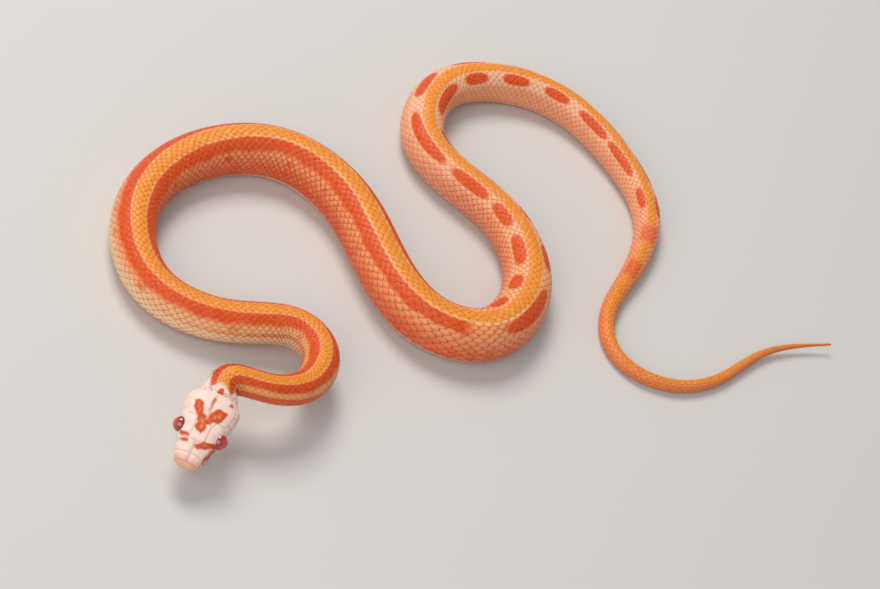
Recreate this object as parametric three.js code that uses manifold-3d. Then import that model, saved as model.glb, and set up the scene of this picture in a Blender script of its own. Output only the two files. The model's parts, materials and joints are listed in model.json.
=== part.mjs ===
// A young corn snake at life size, lying in loose curves with its head and neck raised.
// Millimetres, +Z up, with the floor at z = 0. The head points towards -Y, and the snake's left is +X.
import * as THREE from 'three';
import { mergeVertices } from 'three/addons/utils/BufferGeometryUtils.js';
import Module from 'manifold-3d';

const wasm = await Module();
wasm.setup();

// Guide points for the middle line of the belly, from the nape to the tip of the tail.
// Each one is x, y and how far the belly clears the floor there. The line is a smooth
// curve drawn towards them, so it starts and ends on the list but only nears the rest.
const BELLY_GUIDES = [
  [-17.95, -37.75, 4.4],
  [-18.02, -35.05, 5.35],
  [-13.3, -34.4, 5.2],
  [-9.8, -31.3, 4.0],
  [-8.7, -27.0, 2.9],
  [-9.8, -21.8, 2.0],
  [-15.0, -19.0, 1.2],
  [-22.0, -24.5, 0.5],
  [-31.0, -25.0, 0],
  [-37.0, -19.5, 0],
  [-40.0, -10.5, 0],
  [-37.5, -0.5, 0],
  [-31.0, 6.5, 0],
  [-24.0, 8.5, 0],
  [-15.0, 5.0, 0],
  [-8.0, -4.0, 0],
  [-0.5, -9.5, 0],
  [7.5, -7.5, 0],
  [10.5, -1.0, 0],
  [10.0, 8.0, 0],
  [3.5, 16.5, 0],
  [-5.5, 18.5, 0],
  [-12.5, 22.5, 0],
  [-13.5, 33.0, 0],
  [-9.5, 39.5, 0],
  [-1.5, 44.0, 0],
  [7.0, 43.5, 0],
  [16.5, 37.0, 0],
  [22.0, 30.0, 0],
  [22.5, 20.0, 0],
  [20.0, 9.0, 0],
  [24.0, 2.0, 0],
  [31.5, 1.5, 0],
  [38.5, 7.0, 0],
  [42.0, 17.5, 0.4],
  [51.0, 23.5, 1.2],
];
// The middle of the floor that the whole snake covers, which becomes x = 0, y = 0.
const FLOOR_CENTRE = [4.45, -0.85];

// Width of the body against the distance behind the nape.
const BODY_WIDTH = [
  [0, 5.2],
  [1.4, 4.5],
  [3.4, 3.95],
  [7, 3.8],
  [17, 4.7],
  [37, 5.6],
  [57, 6.1],
  [87, 7.2],
  [127, 7.0],
  [150, 6.1],
  [170, 6.1],
  [197, 5.2],
  [217, 4.1],
  [227, 3.1],
  [237, 2.4],
  [257, 1.8],
  [270, 1.2],
  [281, 0.35],
];
const HEIGHT_TO_WIDTH = 0.93;
const BELLY_FLATNESS = 0.08;
// The belly turns from round at the nape to its full flatness over this length.
const FLATTENING_LENGTH = 8;
// Points measured along each span of the belly's line.
const SAMPLES_PER_SPAN = 60;
const BODY_SIDES = 14;
const TAIL_SIDES = 10;

// Belly plates: one cross band for about three real ones, with a groove behind each.
const PLATE_TO_WIDTH = 0.45;
const SHORTEST_PLATE = 2.0;
const GROOVE_LENGTH = 0.36;
const GROOVE_DEPTH = 0.16;
const DEEPEST_GROOVE_TO_WIDTH = 0.06;

// The body is parted across at these distances behind the nape.
const PARTING = 0.3;
const BODY_LENGTHS = [
  ['neck_front', 17],
  ['neck_rear', 33],
  ['forebody_1', 58],
  ['forebody_2', 84],
  ['midbody_1', 110],
  ['midbody_2', 134],
  ['midbody_3', 158],
  ['hindbody_1', 182],
  ['hindbody_2', 204],
  ['hindbody_3', 221],
  ['tail_base', 241],
  ['tail_middle', 261],
  ['tail_tip', Infinity],
];
const TAIL_START = 221;
const FRONT_COLOUR_END = 134;
const BELLY_EDGE_ANGLE = THREE.MathUtils.degToRad(112);

// Head, in its own frame: y runs back from the snout at -HEAD_LENGTH to the nape at 0.
// Each station is the distance behind the snout, half the width, the height of the top
// above the middle and the depth of the chin below it.
const HEAD_LENGTH = 9.8;
const HEAD_STATIONS = [
  [0.12, 0.8, 0.42, 0.38],
  [0.5, 1.32, 0.78, 0.68],
  [1.1, 1.72, 1.05, 0.92],
  [2.0, 2.03, 1.32, 1.12],
  [3.0, 2.28, 1.62, 1.32],
  [4.4, 2.58, 1.92, 1.54],
  [6.0, 2.97, 2.08, 1.72],
  [7.2, 3.22, 2.14, 1.9],
  [8.2, 3.3, 2.16, 2.06],
  [9.0, 3.08, 2.24, 2.2],
  [9.8, 2.6, 2.42, 2.42],
];
const HEAD_SIDES = 24;
const HEAD_BOXINESS = 0.8;
// The head's section turns from boxy to round between here and the nape.
const BOXY_TO = 7;
const MOUTH_GAP = 0.3;
// The line of the mouth in side view: distance behind the snout and height.
const MOUTH_LINE = [
  [-1.0, -0.42],
  [0.6, -0.46],
  [2.4, -0.76],
  [4.6, -0.98],
  [6.4, -0.76],
  [7.9, -0.45],
];
const THROAT_CUT_REACH = 3.2;
const THROAT_CUT_SLOPE = 0.5;
const MOUTH_CUT_WIDTH = 10;

const EYE_RADIUS = 0.96;
const EYE_BEHIND_SNOUT = 4.5;
const EYE_OUT = 2.45;
const EYE_UP = 0.56;
const SOCKET_GAP = 0.3;
const EYE_DETAIL = 2;
const NOSTRIL_RADIUS = 0.3;
const NOSTRIL_BEHIND_SNOUT = 0.95;
const NOSTRIL_UP = 0.3;
const NOSTRIL_DEGREES = 64.8;
const NOSTRIL_DETAIL = 1;

// Plates of the head, raised on it. Each is a list of corners: the distance behind the
// snout and the degrees from the top. The ones in pairs are given for the left side.
const PLATE_RAISE = 0.12;
const PLATE_DOME = 0.05;
const PLATE_ROOT = 0.35;
const PLATE_BEVEL = 0.14;
const LONGEST_PLATE_EDGE = 1.1;
// How far either side of a point the head's surface is read to find its direction.
const DIRECTION_STEP = 0.05;
const MIDDLE_PLATES = {
  rostral: [[0.17, -70], [0.46, -56], [0.46, 0], [0.46, 56], [0.17, 70]],
  frontal: [[3.12, -18], [3.12, 18], [4.3, 15], [5.0, 15], [5.85, 3], [5.85, -3], [5.0, -15], [4.3, -15]],
  mental: [[0.2, 146], [0.5, 152], [0.6, 180], [0.5, 208], [0.2, 214]],
  throat_front: [[6.2, 148], [7.2, 144], [7.2, 216], [6.2, 212]],
  throat_rear: [[8.7, 148], [9.5, 148], [9.5, 212], [8.7, 212]],
};
const PAIRED_PLATES = {
  internasal: [[0.6, 3], [0.58, 30], [0.68, 50], [1.3, 48], [1.45, 26], [1.5, 3]],
  prefrontal: [[1.62, 3], [1.58, 27], [1.45, 51], [2.3, 56], [2.95, 47], [3.0, 24], [2.95, 3]],
  supraocular: [[3.15, 24], [3.15, 47], [4.5, 44], [5.8, 47], [5.75, 22], [5.1, 19], [4.3, 19]],
  parietal: [[6.05, 3], [5.95, 22], [5.95, 42], [6.3, 51], [7.3, 54], [8.3, 50], [9.0, 36], [9.2, 3]],
  nasal: [[0.42, 60], [0.8, 55], [1.35, 55], [1.45, 84], [0.5, 84]],
  loreal: [[1.55, 58], [2.5, 62], [2.5, 84], [1.6, 84]],
  preocular: [[2.62, 62], [3.15, 52], [3.2, 86], [2.62, 86]],
  upper_postocular: [[5.92, 52], [6.4, 58], [6.4, 70], [5.92, 70]],
  lower_postocular: [[5.92, 73], [6.4, 73], [6.4, 89], [5.92, 90]],
  front_upper_temporal: [[6.55, 59], [7.6, 60], [7.6, 72], [6.55, 71]],
  front_lower_temporal: [[6.55, 74], [7.6, 75], [7.6, 87], [6.55, 88]],
  rear_upper_temporal: [[7.75, 58], [8.9, 53], [9.0, 69], [7.75, 72]],
  rear_lower_temporal: [[7.75, 75], [9.0, 72], [9.0, 86], [7.75, 87]],
  upper_lip_1: [[0.55, 87], [1.2, 87], [1.25, 105], [0.6, 104]],
  upper_lip_2: [[1.32, 87], [2.1, 87], [2.15, 109], [1.37, 106]],
  upper_lip_3: [[2.24, 87], [3.2, 89], [3.25, 111], [2.28, 110]],
  upper_lip_7: [[5.9, 93], [6.85, 92], [6.85, 101], [5.95, 104]],
  upper_lip_8: [[6.97, 91], [7.9, 90], [7.9, 96], [6.97, 100]],
  lower_lip_1: [[0.65, 139], [1.2, 139], [1.25, 153], [0.65, 151]],
  lower_lip_2: [[1.32, 139], [2.1, 139], [2.15, 154], [1.37, 153]],
  lower_lip_3: [[2.22, 139], [3.1, 139], [3.15, 155], [2.27, 154]],
  lower_lip_4: [[3.22, 139], [4.1, 138], [4.15, 155], [3.27, 155]],
  lower_lip_5: [[4.22, 137], [5.1, 134], [5.15, 153], [4.27, 155]],
  lower_lip_6: [[5.22, 133], [6.1, 125], [6.15, 147], [5.27, 152]],
  lower_lip_7: [[6.22, 123], [7.1, 115], [7.15, 140], [6.27, 146]],
  front_chin_shield: [[0.78, 177], [0.7, 157], [2.4, 158], [2.6, 177]],
  rear_chin_shield: [[2.75, 177], [2.55, 159], [4.6, 159], [4.9, 177]],
};

const SKIN = {
  head: new THREE.MeshStandardMaterial({ color: 0xf0c4ae, roughness: 0.45, metalness: 0 }),
  front: new THREE.MeshStandardMaterial({ color: 0xe67a2e, roughness: 0.5, metalness: 0 }),
  rear: new THREE.MeshStandardMaterial({ color: 0xe8855c, roughness: 0.5, metalness: 0 }),
};
const EYE = new THREE.MeshStandardMaterial({ color: 0xd2473c, roughness: 0.1, metalness: 0 });

// A smooth curve through the rows of a table, read at one value of its first column.
function readTable(rows, x) {
  const last = rows.length - 1;
  const at = THREE.MathUtils.clamp(x, rows[0][0], rows[last][0]);
  let i = 0;
  while (i < last - 1 && rows[i + 1][0] < at) i += 1;
  const [a, b] = [rows[i], rows[i + 1]];
  const before = rows[Math.max(i - 1, 0)];
  const after = rows[Math.min(i + 2, last)];
  const span = b[0] - a[0];
  const u = (at - a[0]) / span;
  return a.slice(1).map((start, column) => {
    const k = column + 1;
    const end = b[k];
    const slopeA = (end - before[k]) / (b[0] - before[0]) * span;
    const slopeB = (after[k] - start) / (after[0] - a[0]) * span;
    const rise = end - start;
    return start + u * slopeA + u * u * (3 * rise - 2 * slopeA - slopeB)
      + u * u * u * (slopeA + slopeB - 2 * rise);
  });
}

// The middle line of the belly: a cubic B-spline that starts and ends on its guides.
class BellyLine extends THREE.Curve {
  constructor(guides) {
    super();
    const points = guides.map((guide) => new THREE.Vector3(...guide));
    const last = points.length - 1;
    const mirror = (end, next) => end.clone().multiplyScalar(2).sub(next);
    this.points = [mirror(points[0], points[1]), ...points, mirror(points[last], points[last - 1])];
    this.spans = last;
    this.arcLengthDivisions = SAMPLES_PER_SPAN * this.spans;
  }

  getPoint(t) {
    const place = t * this.spans;
    const span = Math.min(Math.floor(place), this.spans - 1);
    const u = place - span;
    const weights = [
      (1 - u) ** 3 / 6,
      (3 * u ** 3 - 6 * u ** 2 + 4) / 6,
      (-3 * u ** 3 + 3 * u ** 2 + 3 * u + 1) / 6,
      u ** 3 / 6,
    ];
    const point = new THREE.Vector3();
    weights.forEach((weight, i) => point.addScaledVector(this.points[span + i], weight));
    return point;
  }

  // The belly point at a distance behind the nape, with its backward, side and up directions.
  frame(distance) {
    const u = THREE.MathUtils.clamp(distance / this.getLength(), 0, 1);
    const back = this.getTangentAt(u);
    const side = new THREE.Vector3(-back.y, back.x, 0).normalize();
    const up = new THREE.Vector3().crossVectors(back, side).normalize();
    return { origin: this.getPointAt(u), back, side, up };
  }
}

const bellyLine = new BellyLine(BELLY_GUIDES);
const bodyLength = bellyLine.getLength();

// One closed outline of the body, seen along it. A groove lifts the belly's part of it.
function bodyRing(distance, sides, groove) {
  const { origin, side, up } = bellyLine.frame(distance);
  const [width] = readTable(BODY_WIDTH, distance);
  const depth = (width * HEIGHT_TO_WIDTH) / 2;
  const flatness = BELLY_FLATNESS * Math.min(1, distance / FLATTENING_LENGTH);
  const ring = [];
  for (let i = 0; i < sides; i += 1) {
    const angle = (2 * Math.PI * (i + 0.5)) / sides;
    const fromTop = Math.min(angle, 2 * Math.PI - angle);
    const across = (width / 2) * Math.sin(angle);
    const height = depth * ((1 + flatness) * Math.cos(angle) - flatness);
    const lift = fromTop > BELLY_EDGE_ANGLE ? groove : 0;
    const above = Math.max(height, -depth) + depth + lift;
    ring.push(origin.clone().addScaledVector(side, across).addScaledVector(up, above));
  }
  return ring;
}

// A closed body from rings of points, with a middle point on each of its two ends.
function loftGeometry(rings) {
  const sides = rings[0].length;
  const middle = (ring) => ring
    .reduce((sum, point) => sum.add(point), new THREE.Vector3())
    .divideScalar(sides);
  const points = [...rings.flat(), middle(rings[0]), middle(rings[rings.length - 1])];
  const startMiddle = rings.length * sides;
  const endMiddle = startMiddle + 1;
  const lastRing = (rings.length - 1) * sides;
  const faces = [];
  for (let i = 0; i < sides; i += 1) {
    const next = (i + 1) % sides;
    faces.push(startMiddle, i, next);
    faces.push(endMiddle, lastRing + next, lastRing + i);
    for (let row = 0; row < lastRing; row += sides) {
      faces.push(row + i, row + sides + i, row + sides + next);
      faces.push(row + i, row + sides + next, row + next);
    }
  }
  return indexedGeometry(points, faces);
}

// A geometry from points and triangles, turned inside out if its volume comes out negative.
function indexedGeometry(points, faces) {
  let volume = 0;
  for (let i = 0; i < faces.length; i += 3) {
    const [a, b, c] = [points[faces[i]], points[faces[i + 1]], points[faces[i + 2]]];
    volume += a.dot(new THREE.Vector3().crossVectors(b, c));
  }
  const index = volume < 0 ? faces.slice().reverse() : faces;
  const geometry = new THREE.BufferGeometry().setFromPoints(points);
  geometry.setIndex(index);
  return geometry;
}

// The body between two partings, as belly plates each with a groove behind it.
function bodyLengthGeometry(start, end) {
  const onTail = start >= TAIL_START;
  const sides = onTail ? TAIL_SIDES : BODY_SIDES;
  const [middleWidth] = readTable(BODY_WIDTH, (start + end) / 2);
  const plateLength = Math.max(SHORTEST_PLATE, middleWidth * PLATE_TO_WIDTH);
  const plates = Math.round((end - start) / plateLength);
  const step = (end - start) / plates;
  const rings = [];
  for (let plate = 0; plate < plates; plate += 1) {
    const from = start + plate * step;
    const to = from + step;
    const [width] = readTable(BODY_WIDTH, to);
    const depth = Math.min(GROOVE_DEPTH, width * DEEPEST_GROOVE_TO_WIDTH);
    rings.push(bodyRing(from, sides, 0));
    if (plate < plates - 1) {
      rings.push(bodyRing(to - GROOVE_LENGTH, sides, 0));
      rings.push(bodyRing(to - GROOVE_LENGTH / 2, sides, depth));
    }
  }
  rings.push(bodyRing(end, sides, 0));
  return loftGeometry(rings);
}

// A point of the head's outline at a distance behind the snout and an angle from the top.
function headPoint(behindSnout, angle) {
  const [halfWidth, top, chin] = readTable(HEAD_STATIONS, behindSnout);
  const towardsNape = Math.max(0, (behindSnout - BOXY_TO) / (HEAD_LENGTH - BOXY_TO));
  const power = THREE.MathUtils.lerp(HEAD_BOXINESS, 1, towardsNape);
  const swell = (value) => Math.sign(value) * Math.abs(value) ** power;
  const height = Math.cos(angle) > 0 ? top : chin;
  return new THREE.Vector3(
    halfWidth * swell(Math.sin(angle)),
    behindSnout - HEAD_LENGTH,
    height * swell(Math.cos(angle)),
  );
}

function headGeometry() {
  const rings = [];
  const stations = HEAD_STATIONS.map(([distance]) => distance);
  stations.forEach((distance, i) => {
    const ring = (at) => Array.from({ length: HEAD_SIDES }, (_, k) => (
      headPoint(at, (2 * Math.PI * (k + 0.5)) / HEAD_SIDES)
    ));
    rings.push(ring(distance));
    if (i > 0 && i < stations.length - 1) {
      rings.push(ring((distance + stations[i + 1]) / 2));
    }
  });
  return loftGeometry(rings);
}

// A place on the head's surface, raised along the surface's own direction there.
function raisedPoint(behindSnout, degrees, raise) {
  const angle = THREE.MathUtils.degToRad(degrees);
  const step = DIRECTION_STEP;
  const along = headPoint(behindSnout + step, angle).sub(headPoint(behindSnout - step, angle));
  const round = headPoint(behindSnout, angle + step).sub(headPoint(behindSnout, angle - step));
  const outward = along.cross(round).normalize();
  const point = headPoint(behindSnout, angle);
  const inside = new THREE.Vector3(0, point.y, 0);
  if (outward.dot(point.clone().sub(inside)) < 0) {
    outward.negate();
  }
  return point.addScaledVector(outward, raise);
}

// A plate's outline with points added along its long edges, so that it follows the head.
function plateOutline(corners) {
  const outline = [];
  corners.forEach((corner, i) => {
    const next = corners[(i + 1) % corners.length];
    const length = raisedPoint(...corner, 0).distanceTo(raisedPoint(...next, 0));
    const pieces = Math.max(1, Math.round(length / LONGEST_PLATE_EDGE));
    for (let piece = 0; piece < pieces; piece += 1) {
      outline.push(corner.map((value, k) => THREE.MathUtils.lerp(value, next[k], piece / pieces)));
    }
  });
  return outline;
}

// One plate as a low closed dome with bevelled edges and a root sunk in the head.
function plateGeometry(corners) {
  const outline = plateOutline(corners);
  const count = outline.length;
  const middle = [0, 1].map((k) => outline.reduce((sum, corner) => sum + corner[k], 0) / count);
  const top = outline.map((corner) => raisedPoint(
    ...corner.map((value, k) => THREE.MathUtils.lerp(value, middle[k], PLATE_BEVEL)),
    PLATE_RAISE,
  ));
  const root = outline.map((corner) => raisedPoint(...corner, -PLATE_ROOT));
  const points = [
    ...top,
    ...root,
    raisedPoint(...middle, PLATE_RAISE + PLATE_DOME),
    raisedPoint(...middle, -PLATE_ROOT),
  ];
  const faces = [];
  for (let i = 0; i < count; i += 1) {
    const next = (i + 1) % count;
    faces.push(2 * count, i, next);
    faces.push(i, count + i, count + next);
    faces.push(i, count + next, next);
    faces.push(2 * count + 1, count + next, count + i);
  }
  return indexedGeometry(points, faces);
}

function headPlates() {
  const mirrored = (corners) => corners.map(([distance, degrees]) => [distance, -degrees]);
  const pairs = Object.values(PAIRED_PLATES).flatMap((corners) => [corners, mirrored(corners)]);
  return [...Object.values(MIDDLE_PLATES), ...pairs].map((corners) => toSolid(plateGeometry(corners)));
}

// Closed three.js geometry to a solid and back.
function toSolid(geometry) {
  const bare = geometry.clone();
  bare.deleteAttribute('normal');
  bare.deleteAttribute('uv');
  const merged = mergeVertices(bare, 1e-5);
  return new wasm.Manifold(new wasm.Mesh({
    numProp: 3,
    vertProperties: new Float32Array(merged.attributes.position.array),
    triVerts: new Uint32Array(merged.index.array),
  }));
}

function toGeometry(solid) {
  const { vertProperties, triVerts, numProp } = solid.getMesh();
  const geometry = new THREE.BufferGeometry();
  const positions = new Float32Array((vertProperties.length / numProp) * 3);
  for (let i = 0; i < positions.length / 3; i += 1) {
    positions.set(vertProperties.subarray(i * numProp, i * numProp + 3), i * 3);
  }
  geometry.setAttribute('position', new THREE.BufferAttribute(positions, 3));
  geometry.setIndex(new THREE.BufferAttribute(new Uint32Array(triVerts), 1));
  return geometry;
}

// The separate bodies of a solid, largest first.
function bodiesOf(solid) {
  return solid.decompose().sort((a, b) => b.volume() - a.volume());
}

function ball(radius, centre, detail) {
  const geometry = new THREE.IcosahedronGeometry(radius, detail);
  geometry.translate(...centre);
  return geometry;
}

// A thin blade along the line of the mouth that turns down behind its corner.
function mouthBlade() {
  const half = MOUTH_GAP / 2;
  const upper = MOUTH_LINE.map(([distance, height]) => [distance - HEAD_LENGTH, height + half]);
  const lower = MOUTH_LINE.map(([distance, height]) => [distance - HEAD_LENGTH, height - half]);
  const corner = upper[upper.length - 1];
  const outline = [
    ...upper,
    [corner[0] + MOUTH_GAP + THROAT_CUT_SLOPE, corner[1] - THROAT_CUT_REACH],
    [corner[0] + THROAT_CUT_SLOPE, corner[1] - THROAT_CUT_REACH],
    [corner[0] - MOUTH_GAP, corner[1] - MOUTH_GAP],
    ...lower.slice(0, -1).reverse(),
  ];
  const shape = new THREE.Shape(outline.map(([y, z]) => new THREE.Vector2(y, z)));
  const blade = new THREE.ExtrudeGeometry(shape, { depth: MOUTH_CUT_WIDTH, bevelEnabled: false });
  // The outline was drawn in x and y and pushed along z: turn that to y, z and x.
  blade.translate(0, 0, -MOUTH_CUT_WIDTH / 2);
  blade.applyMatrix4(new THREE.Matrix4().set(0, 0, 1, 0, 1, 0, 0, 0, 0, 1, 0, 0, 0, 0, 0, 1));
  return blade;
}

function makeHeadParts() {
  const eyeY = EYE_BEHIND_SNOUT - HEAD_LENGTH;
  let whole = wasm.Manifold.union([toSolid(headGeometry()), ...headPlates()]);
  for (const sign of [-1, 1]) {
    const socket = toSolid(ball(EYE_RADIUS + SOCKET_GAP, [sign * EYE_OUT, eyeY, EYE_UP], EYE_DETAIL));
    const nostrilPlace = headPoint(NOSTRIL_BEHIND_SNOUT, THREE.MathUtils.degToRad(NOSTRIL_DEGREES));
    const nostrilCentre = [sign * nostrilPlace.x, nostrilPlace.y, NOSTRIL_UP];
    const nostril = toSolid(ball(NOSTRIL_RADIUS, nostrilCentre, NOSTRIL_DETAIL));
    whole = whole.subtract(socket).subtract(nostril);
  }
  const [head, jaw] = bodiesOf(whole.subtract(toSolid(mouthBlade())));
  const parts = [
    ['head', toGeometry(head), SKIN.head],
    ['lower_jaw', toGeometry(jaw), SKIN.head],
  ];
  for (const [name, sign] of [['eye_left', 1], ['eye_right', -1]]) {
    parts.push([name, ball(EYE_RADIUS, [sign * EYE_OUT, eyeY, EYE_UP], EYE_DETAIL), EYE]);
  }
  return parts.map(([name, geometry, material]) => namedMesh(name, geometry, material));
}

function namedMesh(name, geometry, material) {
  const mesh = new THREE.Mesh(geometry, material);
  mesh.name = name;
  return mesh;
}

function makeHead() {
  const { origin, back, side, up } = bellyLine.frame(0);
  const depth = HEAD_STATIONS[HEAD_STATIONS.length - 1][3];
  const group = new THREE.Group();
  const place = origin.clone().addScaledVector(up, depth);
  const right = new THREE.Vector3().crossVectors(back, up);
  new THREE.Matrix4().makeBasis(right, back, up).setPosition(place)
    .decompose(group.position, group.quaternion, group.scale);
  group.add(...makeHeadParts());
  return group;
}

function makeBody() {
  const group = new THREE.Group();
  let start = 0;
  for (const [name, cut] of BODY_LENGTHS) {
    const end = Math.min(cut, bodyLength);
    const tip = end === bodyLength ? 0 : PARTING / 2;
    const geometry = bodyLengthGeometry(start + PARTING / 2, end - tip);
    const skin = end < FRONT_COLOUR_END ? SKIN.front : SKIN.rear;
    group.add(namedMesh(name, geometry, skin));
    start = cut;
  }
  return group;
}

const group = new THREE.Group();
group.add(makeHead(), makeBody());
group.position.set(-FLOOR_CENTRE[0], -FLOOR_CENTRE[1], 0);
group.updateMatrixWorld(true);

export default group;
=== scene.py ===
"""A young corn snake at life size: its skin, scales, head plates, belly plates and eyes."""

import json
import logging
import math
from dataclasses import dataclass, field
from enum import Enum
from typing import ClassVar, Iterable, Sequence

import bpy
import numpy as np
from mathutils import Matrix, Vector

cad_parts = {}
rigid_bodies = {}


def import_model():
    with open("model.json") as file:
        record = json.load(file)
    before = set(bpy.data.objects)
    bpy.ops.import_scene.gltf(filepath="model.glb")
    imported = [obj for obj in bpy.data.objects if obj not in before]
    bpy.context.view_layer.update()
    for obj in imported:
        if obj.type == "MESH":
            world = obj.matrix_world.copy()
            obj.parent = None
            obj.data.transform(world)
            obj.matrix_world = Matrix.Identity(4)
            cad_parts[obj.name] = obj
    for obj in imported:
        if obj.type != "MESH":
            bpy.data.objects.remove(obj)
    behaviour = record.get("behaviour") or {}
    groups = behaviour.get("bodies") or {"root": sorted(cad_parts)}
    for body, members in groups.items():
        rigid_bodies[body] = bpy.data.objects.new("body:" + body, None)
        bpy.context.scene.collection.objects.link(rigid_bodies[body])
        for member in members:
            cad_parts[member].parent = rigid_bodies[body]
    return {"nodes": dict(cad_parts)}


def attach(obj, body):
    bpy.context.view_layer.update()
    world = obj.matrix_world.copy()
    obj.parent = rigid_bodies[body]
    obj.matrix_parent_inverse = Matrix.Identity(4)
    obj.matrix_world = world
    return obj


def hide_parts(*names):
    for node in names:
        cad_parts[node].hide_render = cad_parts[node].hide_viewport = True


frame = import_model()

LOG = logging.getLogger("snake")
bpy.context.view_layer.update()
MM = 0.001
ROOT = "root"

# Guide points for the middle line of the belly, in millimetres: x, y and the belly's clearance.
BELLY_GUIDES = [
    (-17.95, -37.75, 4.4),
    (-18.02, -35.05, 5.35),
    (-13.3, -34.4, 5.2),
    (-9.8, -31.3, 4.0),
    (-8.7, -27.0, 2.9),
    (-9.8, -21.8, 2.0),
    (-15.0, -19.0, 1.2),
    (-22.0, -24.5, 0.5),
    (-31.0, -25.0, 0.0),
    (-37.0, -19.5, 0.0),
    (-40.0, -10.5, 0.0),
    (-37.5, -0.5, 0.0),
    (-31.0, 6.5, 0.0),
    (-24.0, 8.5, 0.0),
    (-15.0, 5.0, 0.0),
    (-8.0, -4.0, 0.0),
    (-0.5, -9.5, 0.0),
    (7.5, -7.5, 0.0),
    (10.5, -1.0, 0.0),
    (10.0, 8.0, 0.0),
    (3.5, 16.5, 0.0),
    (-5.5, 18.5, 0.0),
    (-12.5, 22.5, 0.0),
    (-13.5, 33.0, 0.0),
    (-9.5, 39.5, 0.0),
    (-1.5, 44.0, 0.0),
    (7.0, 43.5, 0.0),
    (16.5, 37.0, 0.0),
    (22.0, 30.0, 0.0),
    (22.5, 20.0, 0.0),
    (20.0, 9.0, 0.0),
    (24.0, 2.0, 0.0),
    (31.5, 1.5, 0.0),
    (38.5, 7.0, 0.0),
    (42.0, 17.5, 0.4),
    (51.0, 23.5, 1.2),
]
FLOOR_CENTRE = (4.45, -0.85)

# Width of the body against the distance behind the nape, in millimetres.
BODY_WIDTH = [
    (0, 5.2),
    (1.4, 4.5),
    (3.4, 3.95),
    (7, 3.8),
    (17, 4.7),
    (37, 5.6),
    (57, 6.1),
    (87, 7.2),
    (127, 7.0),
    (150, 6.1),
    (170, 6.1),
    (197, 5.2),
    (217, 4.1),
    (227, 3.1),
    (237, 2.4),
    (257, 1.8),
    (270, 1.2),
    (281, 0.35),
]
HEIGHT_TO_WIDTH = 0.93
BELLY_FLATNESS = 0.08
# The belly turns from round at the nape to its full flatness over this length.
FLATTENING_LENGTH = 8

# Head stations: distance behind the snout, half the width, height of the top, depth of the chin.
HEAD_LENGTH = 9.8
HEAD_STATIONS = [
    (0.0, 1.5, 0.85, 0.76),
    (0.5, 1.57, 0.92, 0.8),
    (1.1, 1.72, 1.05, 0.92),
    (2.0, 2.03, 1.32, 1.12),
    (3.0, 2.28, 1.62, 1.32),
    (4.4, 2.58, 1.92, 1.54),
    (6.0, 2.97, 2.08, 1.72),
    (7.2, 3.22, 2.14, 1.9),
    (8.2, 3.3, 2.16, 2.06),
    (9.0, 3.08, 2.24, 2.2),
    (9.8, 2.6, 2.42, 2.42),
]
# The snout rounds off over this length, by these two powers.
SNOUT_ROUNDING = 1.3
SNOUT_POWERS = (2.4, 2.2)
# The head's section is boxy back to BOXY_TO and turns round between there and the nape.
HEAD_BOXINESS = 0.8
BOXY_TO = 7

EYE_RADIUS = 0.96
EYE_BEHIND_SNOUT = 4.5
EYE_OUT = 2.45
EYE_UP = 0.56

# A distance that is farther off than anything on the snake.
FAR = 1e9


def read_table(rows: Sequence[Sequence[float]], at: np.ndarray) -> np.ndarray:
    """Reads a smooth curve through the rows of a table.

    Args:
        rows: Rows whose first column rises.
        at: Values of the first column to read at.

    Returns:
        An array with one row for each value and one column for each further column of the table.
    """
    table = np.asarray(rows, dtype=float)
    at = np.clip(np.asarray(at, dtype=float), table[0, 0], table[-1, 0])
    last = len(table) - 1
    i = np.clip(np.searchsorted(table[:, 0], at, side="left") - 1, 0, last - 1)
    a, b = table[i], table[i + 1]
    before, after = table[np.maximum(i - 1, 0)], table[np.minimum(i + 2, last)]
    span = (b[:, :1] - a[:, :1])
    u = (at[:, None] - a[:, :1]) / span
    slope_a = (b - before)[:, 1:] / (b - before)[:, :1] * span
    slope_b = (after - a)[:, 1:] / (after - a)[:, :1] * span
    rise = (b - a)[:, 1:]
    cubic = slope_a + slope_b - 2 * rise
    return a[:, 1:] + u * slope_a + u**2 * (3 * rise - 2 * slope_a - slope_b) + u**3 * cubic


def read_number(rows: Sequence[Sequence[float]], at: float) -> float:
    """Reads one number from a table of two columns."""
    return float(read_table(rows, np.array([at]))[0, 0])


def smooth_step(low: float | np.ndarray, high: float | np.ndarray, value: np.ndarray) -> np.ndarray:
    """Returns 0 below low, 1 above high and a smooth rise between."""
    u = np.clip((value - low) / (high - low), 0, 1)
    return u * u * (3 - 2 * u)


def hump(value: np.ndarray, width: float) -> np.ndarray:
    """Returns 1 where the value is 0, falling smoothly to 0 to either side of it."""
    return np.exp(-((value / width) ** 2))


def signed_power(value: np.ndarray, power: np.ndarray) -> np.ndarray:
    """Returns the value's size to a power, with the value's sign."""
    return np.sign(value) * np.abs(value) ** power


def fade(low: float | np.ndarray, high: float | np.ndarray, value: np.ndarray) -> np.ndarray:
    """Returns 1 below low, 0 above high and a smooth fall between."""
    return 1 - smooth_step(low, high, value)


def waves(value: np.ndarray, terms: Sequence[Sequence[float]]) -> np.ndarray:
    """Adds up sine waves, each given by its height, its rate and its start."""
    return sum(height * np.sin(value * rate + start) for height, rate, start in terms)


def unit(vectors: np.ndarray) -> np.ndarray:
    """Returns the vectors at length 1."""
    return vectors / np.maximum(np.linalg.norm(vectors, axis=-1, keepdims=True), 1e-12)


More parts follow.
